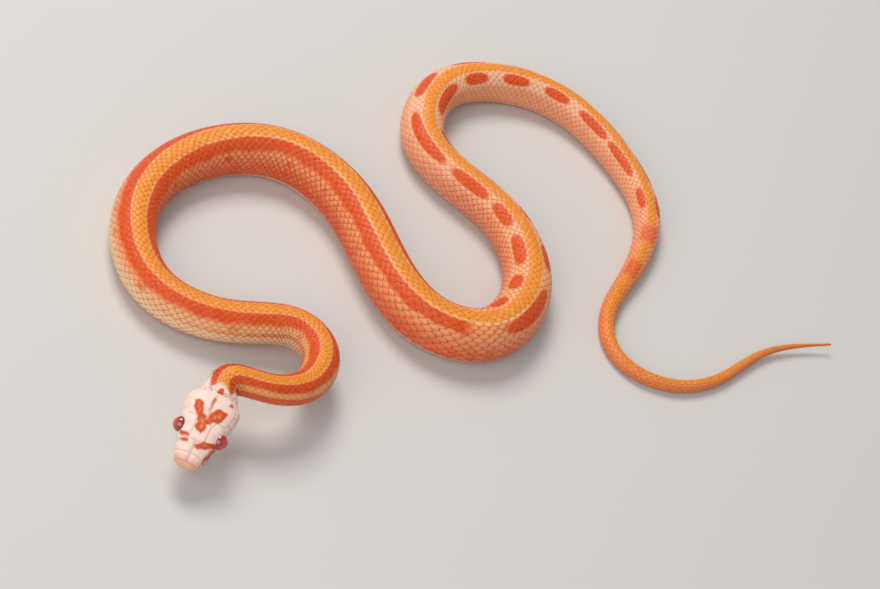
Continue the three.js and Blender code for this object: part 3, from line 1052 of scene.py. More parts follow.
@dataclass(frozen=True)
class EyeFinish:
    """A red eye with a clear cap over it."""

    iris: Colour = rgb(0.50, 0.030, 0.020)
    iris_light: Colour = rgb(0.62, 0.070, 0.045)
    pupil: Colour = rgb(0.33, 0.012, 0.010)
    rim: Colour = rgb(0.30, 0.020, 0.014)
    pupil_edge: tuple = (0.32, 0.44)
    rim_edge: tuple = (0.72, 0.95)
    roughness: tuple = (0.06, 0.10)

    def make(self) -> bpy.types.Material:
        """Makes the finish, with a round pupil about the eye's own axis.

        Returns:
            The material.
        """
        maker = ShaderMaker("eye")
        out = maker.value("from_axis")
        iris = maker.mix(maker.noise(0.25, 3.0), self.iris, self.iris_light)
        colour = maker.mix(maker.ramp(out, *self.pupil_edge), self.pupil, iris)
        colour = maker.mix(maker.ramp(out, *self.rim_edge), colour, self.rim)
        return maker.surface({
            "Base Color": colour,
            "Roughness": spread(maker.noise(0.3), *self.roughness),
        }, {
            "Coat Weight": 0.8, "Coat Roughness": 0.03, "Subsurface Weight": 0.1,
            "Subsurface Scale": 0.2 * MM, "Specular IOR Level": 0.6,
        })


@dataclass(frozen=True)
class Mound:
    """A smooth rise or hollow on each side of the head, by its height, its middle and its spread."""

    height: float
    behind_snout: float
    degrees: float
    length: float
    breadth: float

    def read(self, t: np.ndarray, degrees: np.ndarray) -> np.ndarray:
        """Returns its height at distances behind the snout and degrees from the top."""
        across = hump(degrees - self.degrees, self.breadth)
        return self.height * hump(t - self.behind_snout, self.length) * across


@dataclass(frozen=True)
class HeadRelief:
    """The plates, lips, nostrils and eye rims of the head, as heights over its plain shape.

    Seams run in millimetres behind the snout and degrees from the top, on both sides.
    """

    seam_width: float = 0.042
    seam_depth: float = 0.03
    plate_height: float = 0.07
    plate_round_off: float = 0.11
    plates_to: float = 9.2
    plates_shorter: float = 0.6
    shorter_side: tuple = (40, 90)
    plates_fade: tuple = (-0.2, 0.05)
    highest: float = 0.1
    softness_of_highest: float = 0.15
    upper_lip_seams: tuple = (0.58, 1.28, 2.2, 3.25, 4.15, 5.0, 5.92, 6.9, 7.9)
    lower_lip_seams: tuple = (0.62, 1.27, 2.18, 3.17, 4.17, 5.17, 6.17, 7.15)
    lip_line: tuple = ((0.3, 86), (1.6, 85.5), (2.5, 85.5), (3.2, 87.5), (5.92, 91), (7.9, 88.5), (9.8, 88))
    lower_lip_line: tuple = ((0.2, 150), (2.2, 155.5), (4.2, 156), (5.2, 153), (6.2, 147.5), (7.2, 141),
                             (9.8, 135))
    seams: tuple = (
        ((0.50, 0), (0.50, 28), (0.52, 52), (0.42, 86)),
        ((0.52, 0), (3.05, 0)),
        ((5.95, 0), (9.3, 0)),
        ((1.56, 0), (1.52, 26), (1.38, 49)),
        ((0.52, 52), (1.38, 49), (1.5, 56), (2.5, 59), (3.05, 50)),
        ((3.05, 0), (3.06, 21), (3.05, 50)),
        ((3.06, 21), (4.3, 17), (5.05, 17), (5.95, 0)),
        ((5.05, 17), (5.87, 22), (5.87, 48)),
        ((5.87, 48), (6.35, 54), (7.35, 57), (8.5, 53), (9.1, 36), (9.3, 0)),
        ((1.5, 56), (1.5, 85.5)),
        ((2.56, 60), (2.56, 85.5)),
        ((5.9, 71.5), (6.48, 71.5)),
        ((6.48, 56), (6.48, 89.5)),
        ((6.48, 72.5), (7.65, 73.5), (9.0, 70.5)),
        ((7.68, 57), (7.68, 88)),
        ((8.95, 52), (9.1, 86)),
        ((0.62, 180), (0.55, 152), (0.2, 146)),
        ((0.65, 180), (5.0, 180)),
        ((2.68, 180), (2.6, 156)),
        ((4.95, 180), (4.4, 156)),
    )
    mouth: tuple = (
        (-1.0, -0.42), (0.6, -0.46), (2.4, -0.76), (4.6, -0.98), (6.4, -0.76), (7.9, -0.45),
    )
    mouth_end: float = 7.9
    mouth_fade: float = 0.3
    lips_past_mouth: float = 0.2
    mouth_half: float = 0.055
    mouth_depth: float = 0.22
    lip_rise: float = 0.03
    lip_place: float = 0.18
    lip_half: float = 0.12
    jaw_step: float = 0.04
    jaw_step_side: tuple = (0.1, 0.5)
    lips_from: tuple = (80, 100)
    lip_seam_lean: float = 0.004

    eye_rim_height: float = 0.1
    eye_rim_place: float = 0.06
    eye_rim_half: float = 0.09
    lid_place: float = 0.13
    lid_half: float = 0.035
    brow: Mound = Mound(0.12, EYE_BEHIND_SNOUT, 46, 1.15, 13)
    hollow: Mound = Mound(-0.08, 2.4, 76, 0.8, 10)
    nostril_behind_snout: float = 0.95
    nostril_up: float = 0.3
    nostril_half: float = 0.13
    nostril_depth: float = 0.26
    nostril_from: float = 40.0
    # Painted shade in the mouth line, the crease round each eye and the nostril pits, added to the seam mask.
    mouth_shade: float = 0.9
    lid_shade: float = 0.5
    nostril_shade: float = 0.7

    def _distance_to(self, t: np.ndarray, degrees: np.ndarray, line: Sequence) -> np.ndarray:
        """Measures how far points lie from a seam, on the unrolled head.

        Args:
            t: Distances behind the snout.
            degrees: Degrees from the top.
            line: The seam's corners.

        Returns:
            The distances in millimetres.
        """
        radius = 0.5 * read_table(HEAD_STATIONS, t)[:, :2].sum(axis=1)
        to_mm = np.radians(1) * radius
        nearest = np.full(len(t), FAR)
        for (t0, a0), (t1, a1) in zip(line, line[1:]):
            px, py = t - t0, (degrees - a0) * to_mm
            dx, dy = t1 - t0, (a1 - a0) * to_mm
            u = np.clip((px * dx + py * dy) / np.maximum(dx**2 + dy**2, 1 / FAR), 0, 1)
            nearest = np.minimum(nearest, np.hypot(px - u * dx, py - u * dy))
        return nearest

    def plates_end(self, degrees: np.ndarray) -> np.ndarray:
        """Returns how far behind the snout the plates give way to scales."""
        return self.plates_to - self.plates_shorter * smooth_step(*self.shorter_side, degrees)

    def _nearest_seam(self, t: np.ndarray, degrees: np.ndarray, below_mouth: np.ndarray) -> np.ndarray:
        """Measures how far points lie from the nearest seam, the lips' among them.

        Args:
            t: Distances behind the snout.
            degrees: Degrees from the top.
            below_mouth: Which lie below the mouth.

        Returns:
            The distances in millimetres.
        """
        nearest = np.full(len(t), FAR)
        for line in self.seams:
            nearest = np.minimum(nearest, self._distance_to(t, degrees, line))
        near_mouth = t < self.mouth_end + self.lips_past_mouth
        upper, lower = self.lips_from
        lines = ((self.lip_line, self.upper_lip_seams, 1, ~below_mouth & (degrees > upper)),
                 (self.lower_lip_line, self.lower_lip_seams, -1, below_mouth & (degrees > lower)))
        for edge_line, cross_seams, mouthwards, part in lines:
            part = part & near_mouth
            to_edge = np.where(part, self._distance_to(t, degrees, edge_line), FAR)
            nearest = np.minimum(nearest, to_edge)
            on_lip = part & ((degrees - read_table(edge_line, t)[:, 0]) * mouthwards >= 0)
            for at in cross_seams:
                to_seam = np.abs(t - at - self.lip_seam_lean * (degrees - 90))
                nearest = np.minimum(nearest, np.where(on_lip, to_seam, FAR))
        return nearest

    def read(self, t: np.ndarray, angle: np.ndarray, local: np.ndarray) -> tuple[np.ndarray, np.ndarray]:
        """Works out the relief.

        Args:
            t: Distances behind the snout.
            angle: Angles from the top.
            local: The same points in the head's own frame.

        Returns:
            Heights outwards in millimetres, and how dark the skin is painted: at plate seams, with painted
            shade in the mouth line, the lids' creases and the nostrils.
        """
        degrees = np.abs(np.degrees(angle))
        to_mouth = local[:, 2] - read_table(self.mouth, t)[:, 0]
        nearest = self._nearest_seam(t, degrees, to_mouth < 0)
        end = self.plates_end(degrees)
        in_plates = fade(*self.plates_fade, t - end)
        seam = hump(nearest, self.seam_width) * in_plates
        height = self.plate_height * (1 - np.exp(-nearest / self.plate_round_off)) * in_plates
        height -= self.seam_depth * seam
        gape, mouth_height = self._mouth(t, to_mouth)
        lid, eye_height = self._eye_rim(t, local)
        pit = hump(np.hypot(t - self.nostril_behind_snout, local[:, 2] - self.nostril_up), self.nostril_half)
        pit *= degrees > self.nostril_from
        height += mouth_height + eye_height - self.nostril_depth * pit
        height += self.brow.read(t, degrees) + self.hollow.read(t, degrees)
        height = np.minimum(height, self.highest + self.softness_of_highest * (height - self.highest))
        # Plate seams, plus painted shade in the mouth, round the eyes and in the nostrils.
        dark = seam + self.mouth_shade * gape + self.lid_shade * lid + self.nostril_shade * pit
        return height, np.clip(dark, 0, 1)

    def _mouth(self, t: np.ndarray, to_mouth: np.ndarray) -> tuple[np.ndarray, np.ndarray]:
        """Returns how far points are in the mouth's line, and the heights of it and of the lips.

        Args:
            t: Distances behind the snout.
            to_mouth: Heights above the mouth's line.

        Returns:
            The mask and the heights.
        """
        in_mouth = fade(self.mouth_end - self.mouth_fade, self.mouth_end, t)
        gape = hump(to_mouth, self.mouth_half) * in_mouth
        lips = hump(np.abs(to_mouth) - self.lip_place, self.lip_half) * in_mouth
        jaw = smooth_step(*self.jaw_step_side, -to_mouth) * in_mouth
        return gape, self.lip_rise * lips - self.mouth_depth * gape - self.jaw_step * jaw

    def _eye_rim(self, t: np.ndarray, local: np.ndarray) -> tuple[np.ndarray, np.ndarray]:
        """Returns how far points are on the line round an eye, and the height of its rim.

        Args:
            t: Distances behind the snout.
            local: The points in the head's own frame.

        Returns:
            The mask and the heights.
        """
        eye = np.stack([np.sign(local[:, 0]) * EYE_OUT, np.full(len(t), EYE_BEHIND_SNOUT - HEAD_LENGTH),
                        np.full(len(t), EYE_UP)], 1)
        out = np.linalg.norm(local - eye, axis=1) - EYE_RADIUS
        lid = hump(out - self.lid_place, self.lid_half)
        return lid, self.eye_rim_height * hump(out - self.eye_rim_place, self.eye_rim_half)


@dataclass(frozen=True)
class HeadBlotches:
    """The orange blotches on the head, each by its corners: left of the middle and behind the snout."""

    soft_edge: float = 0.14
    core_edge: tuple = (0.2, 0.55)
    wobble: float = 0.05
    lowest: float = -0.3
    blotches: tuple = (
        ((-2.2, 7.5), (-1.75, 7.85), (-1.0, 7.45), (-0.8, 6.75), (-0.6, 6.05), (-1.1, 5.7), (-2.0, 6.8)),
        ((-0.05, 6.0), (0.3, 7.1), (1.0, 7.6), (1.9, 7.5), (1.9, 6.7), (1.45, 5.95), (0.6, 5.65)),
        ((-0.9, 4.55), (-0.85, 5.2), (-0.95, 5.7), (-0.2, 5.95), (0.25, 5.5), (0.4, 4.9), (0.17, 4.0),
         (-0.5, 4.15)),
        ((-2.3, 3.75), (-1.05, 3.5), (-1.0, 3.15), (-2.1, 3.2)),
        ((-1.9, 2.8), (-0.95, 2.95), (-0.85, 2.65), (-1.35, 2.4)),
        ((-0.15, 2.46), (0.85, 3.3), (1.75, 3.6), (2.3, 3.9), (2.4, 3.3), (1.9, 3.0), (0.6, 2.2)),
        ((-1.05, 5.2), (-0.2, 5.2), (-0.1, 5.9), (-0.45, 6.3), (-1.15, 6.3)),
        ((0.0, 5.2), (0.5, 5.3), (0.9, 5.8), (0.2, 6.2), (-0.1, 5.8)),
        ((-0.27, 6.7), (-0.25, 7.8), (-0.3, 8.5), (0.05, 8.6), (-0.02, 7.5)),
        ((1.65, 8.35), (1.65, 8.75), (2.05, 8.8), (2.1, 8.45)),
        ((2.25, 3.6), (1.8, 2.3), (1.5, 1.15), (1.75, 1.1), (2.1, 2.0), (2.4, 3.2)),
    )

    def read(self, local: np.ndarray) -> tuple[np.ndarray, np.ndarray]:
        """Reads the blotches and their lighter cores at points in the head's own frame, seen from above.

        Args:
            local: The points.

        Returns:
            The two masks.
        """
        x, t = local[:, 0], local[:, 1] + HEAD_LENGTH
        x = x + self.wobble * np.sin(5 * t + 3 * x)
        t = t + self.wobble * np.sin(6 * x)
        mask, core = np.zeros(len(x)), np.zeros(len(x))
        for corners in self.blotches:
            inside = np.zeros(len(x), dtype=bool)
            nearest = np.full(len(x), FAR)
            for (x0, t0), (x1, t1) in zip(corners, corners[1:] + corners[:1]):
                dx, dt = x1 - x0, t1 - t0
                u = np.clip(((x - x0) * dx + (t - t0) * dt) / (dx**2 + dt**2), 0, 1)
                nearest = np.minimum(nearest, np.hypot(x - x0 - u * dx, t - t0 - u * dt))
                crosses = (t0 > t) != (t1 > t)
                inside ^= crosses & (x < dx * (t - t0) / (dt or 1 / FAR) + x0)
            signed = np.where(inside, nearest, -nearest)
            mask = np.maximum(mask, smooth_step(-self.soft_edge, self.soft_edge, signed))
            core = np.maximum(core, smooth_step(*self.core_edge, signed))
        return mask * (local[:, 2] > self.lowest), core


@dataclass
class Skin:
    """One closed skin from the snout to the tip of the tail, with the head's plates raised in it."""

    form: SnakeForm
    marks: Markings
    head_sides: int = 192
    body_sides: int = 48
    nose_rings: int = 50
    head_rings: int = 160
    ring_gap: float = 0.65
    head_inset: float = 0.03
    more_at_nape: float = 0.14
    plates_step: tuple = (-0.15, 0.15)
    before_tip: tuple = (0.3, 0.15)
    lowest: float = 0.02
    nape_colour: tuple = (0.0, 1.6)
    snout_colour: tuple = (0.3, 1.5)

    def _angles(self, sides: int) -> np.ndarray:
        """Returns the angles of the vertices round one ring, from the belly round over the back."""
        return np.linspace(-math.pi, math.pi, sides, endpoint=False)

    def _head_rings(self) -> np.ndarray:
        """Returns the head's rings, close together where the snout rounds off.

        Returns:
            Their distances behind the snout.
        """
        nose = SNOUT_ROUNDING * (1 - np.cos(np.linspace(0.06, math.pi / 2, self.nose_rings)))
        rest = np.linspace(SNOUT_ROUNDING, HEAD_LENGTH, self.head_rings + 1)[1:-1]
        return np.concatenate([nose, rest])

    def build(self, head: HeadRelief, blotches: HeadBlotches) -> bpy.types.Object:
        """Builds the skin.

        Args:
            head: The head's relief.
            blotches: The head's markings.

        Returns:
            The skin, with its pattern stored on it.
        """
        form = self.form
        head_rings = self._head_rings()
        t = np.repeat(head_rings, self.head_sides)
        around = np.tile(self._angles(self.head_sides), len(head_rings))
        local = form.head_section(t, around)
        height, seam = head.read(t, around, local)
        inset = self._head_inset(t, head.plates_end(np.degrees(np.abs(around))))
        outward = self._local_normals(t, around)
        head_points = form.head_place(local + outward * (height - inset)[:, None])
        last_but_one, last = form.end - np.array(self.before_tip)
        body_rings = np.append(np.arange(0, last_but_one, self.ring_gap), last)
        d = np.repeat(body_rings, self.body_sides)
        turn = np.tile(self._angles(self.body_sides), len(body_rings))
        snout = form.head_place(np.array([[0, -HEAD_LENGTH, 0.0]]))
        tip = form.surface(np.array([form.end]), np.array([math.pi])) + [[0, 0, 0.1]]
        vertices = np.vstack([head_points, self._body_points(d, turn), snout, tip])
        piece = make_mesh("skin", vertices, self._faces(len(head_rings), len(body_rings)))
        self._store(piece.data, t, around, local, seam, d, turn, blotches)
        return piece

    def _head_inset(self, t: np.ndarray, plates_end: np.ndarray) -> np.ndarray:
        """Returns how deep the head's skin lies: near the surface in the plates, deeper behind them.

        Args:
            t: Distances behind the snout.
            plates_end: Where the plates end at each.

        Returns:
            The depths.
        """
        deep = self.form.sink(t - HEAD_LENGTH, self.more_at_nape)
        behind = smooth_step(*self.plates_step, t - plates_end)
        return self.head_inset + (deep - self.head_inset) * behind

    def _body_points(self, d: np.ndarray, turn: np.ndarray) -> np.ndarray:
        """Returns the body's vertices, sunk under its outer shape and kept off the floor.

        Args:
            d: Distances behind the nape.
            turn: Angles from the back.

        Returns:
            One row of x, y, z for each.
        """
        normals, _ = self.form.directions(d, turn)
        points = self.form.surface(d, turn) - normals * self.form.sink(d, self.more_at_nape)[:, None]
        points[:, 2] = np.maximum(points[:, 2], self.lowest)
        return points

    def _local_normals(self, t: np.ndarray, angle: np.ndarray) -> np.ndarray:
        """Finds the outward directions of the plain head in its own frame.

        Args:
            t: Distances behind the snout.
            angle: Angles from the top.

        Returns:
            One row of left, back and up for each.
        """
        step, turn = 0.03, 0.02
        low = np.maximum(t - step, 1e-4)
        high = np.minimum(t + step, HEAD_LENGTH)
        along = self.form.head_section(high, angle) - self.form.head_section(low, angle)
        round_ = self.form.head_section(t, angle + turn) - self.form.head_section(t, angle - turn)
        return unit(np.cross(round_, along))

    def _faces(self, head_rings: int, body_rings: int) -> list[tuple[int, ...]]:
        """Joins the rings, the snout and the tip into one closed surface.

        Args:
            head_rings: How many rings the head has.
            body_rings: How many the body has.

        Returns:
            The corners of each face.
        """
        faces: list[tuple[int, ...]] = []
        start = 0
        for rings, sides in ((head_rings, self.head_sides), (body_rings, self.body_sides)):
            for ring in range(rings - 1):
                a = start + ring * sides
                faces += [(a + i, a + (i + 1) % sides, a + sides + (i + 1) % sides, a + sides + i)
                          for i in range(sides)]
            start += rings * sides
        ratio = self.head_sides // self.body_sides
        last_head = (head_rings - 1) * self.head_sides
        first_body = head_rings * self.head_sides
        for i in range(self.body_sides):
            fine = [last_head + (i * ratio + k) % self.head_sides for k in range(ratio + 1)]
            faces.append((*fine, first_body + (i + 1) % self.body_sides, first_body + i))
        last_body = start - self.body_sides
        faces += [((i + 1) % self.head_sides, i, start) for i in range(self.head_sides)]
        faces += [(last_body + i, last_body + (i + 1) % self.body_sides, start + 1)
                  for i in range(self.body_sides)]
        return faces

    def _store(self, mesh: bpy.types.Mesh, t: np.ndarray, around: np.ndarray, local: np.ndarray,
               seam: np.ndarray, d: np.ndarray, turn: np.ndarray, blotches: HeadBlotches) -> None:
        """Stores the pattern and the unwrap on the skin.

        Args:
            mesh: The skin's mesh.
            t: Distances behind the snout.
            around: Their angles from the top.
            local: The points in the head's own frame.
            seam: How dark the skin is painted there: plate seams, with painted shade in the mouth line, the
                lids' creases and the nostrils.
            d: Distances behind the nape.
            turn: Their angles from the back.
            blotches: The head's markings.
        """
        distance = np.concatenate([t - HEAD_LENGTH, d, [-HEAD_LENGTH, self.form.end]])
        angle = np.concatenate([around, turn, [0, 0]])
        masks = self.marks.read(self.form, distance, angle)
        pad = np.zeros(len(d) + 2)
        head_part = fade(HEAD_LENGTH - 0.2, HEAD_LENGTH + 0.1, t)
        masks["on_head"] = np.concatenate([head_part, fade(*self.nape_colour, d), [1, 0]])
        # The seam mask holds the plate seams and the painted shade of the mouth, lids and nostrils.
        masks["seam"] = np.concatenate([seam, pad])
        masks["snout"] = np.concatenate([fade(*self.snout_colour, t), pad])
        for name, mask in zip(("head_blotch", "blotch_core"), blotches.read(local)):
            masks[name] = np.concatenate([mask, pad])
        add_values(mesh, masks)
        add_unwrap(mesh, unwrap(self.form, distance, angle))


def unwrap(form: SnakeForm, distance: np.ndarray, angle: np.ndarray) -> np.ndarray:
    """Lays the snake's surface out flat in folded strips.

    Args:
        form: The snake's shape.
        distance: Distances behind the nape.
        angle: Angles from the back.

    Returns:
        One u, v for each, inside the unit square.
    """
    total = form.end + HEAD_LENGTH
    along = np.clip((distance + HEAD_LENGTH) / total, 0, 1)
    return np.stack([0.02 + 0.96 * along, 0.5 + 0.46 * angle / math.pi], 1)


class ScaleLeaf:
    """One scale, 1 long and 1 wide, that the coat repeats."""

    OUTLINE = 14
    ROUNDNESS = 1.5
    RINGS = (1.0, 0.8, 0.45)
    HEIGHTS = (0.30, 0.82, 1.0)
    DOME = 0.75
    TILT = 0.5
    ROOT_DEPTH = 0.35
    TOP = 0.68
    UNDER = -0.45
    UNDER_SHARE = 0.9

    def build(self) -> bpy.types.Object:
        """Builds the leaf: a low rounded rhombus, tilted up to its free end, closed below.

        Returns:
            The leaf's object, which isn't shown.
        """
        turns = np.linspace(0, 2 * math.pi, self.OUTLINE, endpoint=False)
        cos, sin = np.cos(turns), np.sin(turns)
        reach = 1 / (np.abs(cos) ** self.ROUNDNESS + np.abs(sin) ** self.ROUNDNESS) ** (1 / self.ROUNDNESS)
        outline = np.stack([cos * reach, sin * reach], 1) * 0.5
        points, rims = [], []
        for share, height in zip(self.RINGS, self.HEIGHTS):
            ring = outline * share
            tilt = self.TILT * (ring[:, 0] + 0.5)
            points.append(np.column_stack([ring, height * self.DOME + tilt - self.ROOT_DEPTH]))
            rims.append(np.full(self.OUTLINE, share))
        points.append(np.array([[0.0, 0.0, self.TOP]]))
        rims.append(np.zeros(1))
        under = np.column_stack([outline * self.UNDER_SHARE, np.full(self.OUTLINE, self.UNDER)])
        points += [under, np.array([[0.0, 0.0, self.UNDER]])]
        rims += [np.ones(self.OUTLINE), np.ones(1)]
        n = self.OUTLINE
        faces: list[tuple[int, ...]] = []
        for i in range(n):
            j = (i + 1) % n
            for ring in range(len(self.RINGS) - 1):
                a, b = ring * n, (ring + 1) * n
                faces.append((a + i, a + j, b + j, b + i))
            top, under_start = len(self.RINGS) * n, len(self.RINGS) * n + 1
            faces.append((top - n + i, top - n + j, top))
            faces.append((under_start + i, under_start + j, j, i))
            faces.append((under_start + j, under_start + i, under_start + n))
        vertices = np.vstack(points)
        leaf = make_mesh("scale_leaf", vertices / MM, faces)
        rim = np.concatenate(rims)
        # The rim mask marks the pale free edge, partly its own paler edge and partly painted highlight,
        # strongest at the free end.
        front = smooth_step(-0.1, 0.5, vertices[:, 0])
        add_values(leaf.data, {"rim": smooth_step(0.6, 1.0, rim) * (0.25 + 0.75 * front)})
        add_vectors(leaf.data, {"leaf": vertices})
        return leaf


class CoatTree:
    """The node tree that sets one leaf on every point of a coat."""

    PATCH = 0.003

    def __init__(self) -> None:
        """Builds the tree."""
        self.tree = bpy.data.node_groups.new("scale_coat", "GeometryNodeTree")
        face = self.tree.interface
        self.ids = {}
        for name, kind in (("Points", "NodeSocketGeometry"), ("Leaf", "NodeSocketObject"),
                           ("Finish", "NodeSocketMaterial"), ("Turn", "NodeSocketFloat"),
                           ("Seed", "NodeSocketInt")):
            self.ids[name] = face.new_socket(name, in_out="INPUT", socket_type=kind).identifier
        face.new_socket("Coat", in_out="OUTPUT", socket_type="NodeSocketGeometry")
        self._fill()

    def _node(self, kind: str, settings: dict | None = None, links: dict | None = None) -> bpy.types.Node:
        """Adds one node, with its settings first and then its values or links.

        Args:
            kind: The node's type.
            settings: Its settings.
            links: Its sockets' values or links.

        Returns:
            The node.
        """
        node = self.tree.nodes.new(kind)
        for key, value in (settings or {}).items():
            setattr(node, key, value)
        for key, value in (links or {}).items():
            if isinstance(value, bpy.types.NodeSocket):
                self.tree.links.new(value, node.inputs[key])
            else:
                node.inputs[key].default_value = value
        return node

    def _named(self, name: str, kind: str = "FLOAT_VECTOR") -> bpy.types.NodeSocket:
        """Reads a value stored on the points."""
        node = self._node("GeometryNodeInputNamedAttribute", {"data_type": kind}, {"Name": name})
        return next(socket for socket in node.outputs if socket.enabled and socket.name == "Attribute")

    def _fill(self) -> None:
        """Adds the nodes: turn, instance, realize, unwrap and finish."""
        start = self._node("NodeGroupInput").outputs
        stand = self._node("FunctionNodeAlignRotationToVector", {"axis": "Z"},
                           {"Vector": self._named("outward")})
        lie = self._node("FunctionNodeAlignRotationToVector", {"axis": "X", "pivot_axis": "Z"},
                         {"Rotation": stand.outputs[0], "Vector": self._named("backward")})
        spin = self._node("FunctionNodeRandomValue", {"data_type": "FLOAT"}, {"Seed": start["Seed"]})
        spin_out = next(s for s in spin.outputs if s.enabled)
        low = self._node("ShaderNodeMath", {"operation": "MULTIPLY"}, {0: start["Turn"], 1: -1.0})
        for socket, value in zip([s for s in spin.inputs if s.enabled][:2], (low.outputs[0], start["Turn"])):
            self.tree.links.new(value, socket)
        turn = self._node("ShaderNodeCombineXYZ", None, {"Z": spin_out})
        jitter = self._node("FunctionNodeEulerToRotation", None, {0: turn.outputs[0]})
        rotation = self._node("FunctionNodeRotateRotation", {"rotation_space": "LOCAL"},
                              {"Rotation": lie.outputs[0], "Rotate By": jitter.outputs[0]})
        leaf = self._node("GeometryNodeObjectInfo", None, {"Object": start["Leaf"]})
        copies = self._node("GeometryNodeInstanceOnPoints", None, {
            "Points": start["Points"], "Instance": leaf.outputs["Geometry"],
            "Rotation": rotation.outputs[0], "Scale": self._named("leaf_size"),
        })
        real = self._node("GeometryNodeRealizeInstances", None, {"Geometry": copies.outputs[0]})
        patch = self._node("ShaderNodeVectorMath", {"operation": "SCALE"},
                           {0: self._named("leaf"), "Scale": self.PATCH})
        place = self._node("ShaderNodeVectorMath", {"operation": "ADD"},
                           {0: self._named("root_place"), 1: patch.outputs[0]})
        store = self._node("GeometryNodeStoreNamedAttribute", {"data_type": "FLOAT2", "domain": "CORNER"},
                           {"Geometry": real.outputs[0], "Name": "OFBake"})
        value = next(s for s in store.inputs if s.enabled and s.name == "Value")
        self.tree.links.new(place.outputs[0], value)
        finish = self._node("GeometryNodeSetMaterial", None,
                            {"Geometry": store.outputs[0], "Material": start["Finish"]})
        end = self._node("NodeGroupOutput")
        self.tree.links.new(finish.outputs[0], end.inputs[0])

    def grow(self, name: str, points: bpy.types.Object, leaf: bpy.types.Object,
             finish: bpy.types.Material, turn: float, seed: int) -> bpy.types.Object:
        """Grows a coat on points and returns it as a plain mesh.

        Args:
            name: The coat's name.
            points: Vertices with the leaf's size and directions stored on them.
            leaf: The leaf to repeat.
            finish: The coat's material.
            turn: How far a leaf may be turned either way, in radians.
            seed: The seed of those turns.

        Returns:
            The coat.
        """
        modifier = points.modifiers.new("coat", "NODES")
        modifier.node_group = self.tree
        for key, value in (("Leaf", leaf), ("Finish", finish), ("Turn", turn), ("Seed", seed)):
            modifier[self.ids[key]] = value
        evaluated = points.evaluated_get(bpy.context.evaluated_depsgraph_get())
        mesh = bpy.data.meshes.new_from_object(evaluated)
        mesh.name = name
        points.modifiers.remove(modifier)
        coat = bpy.data.objects.new(name, mesh)
        bpy.context.scene.collection.objects.link(coat)
        bpy.data.objects.remove(points)
        mesh.shade_smooth()
        return coat


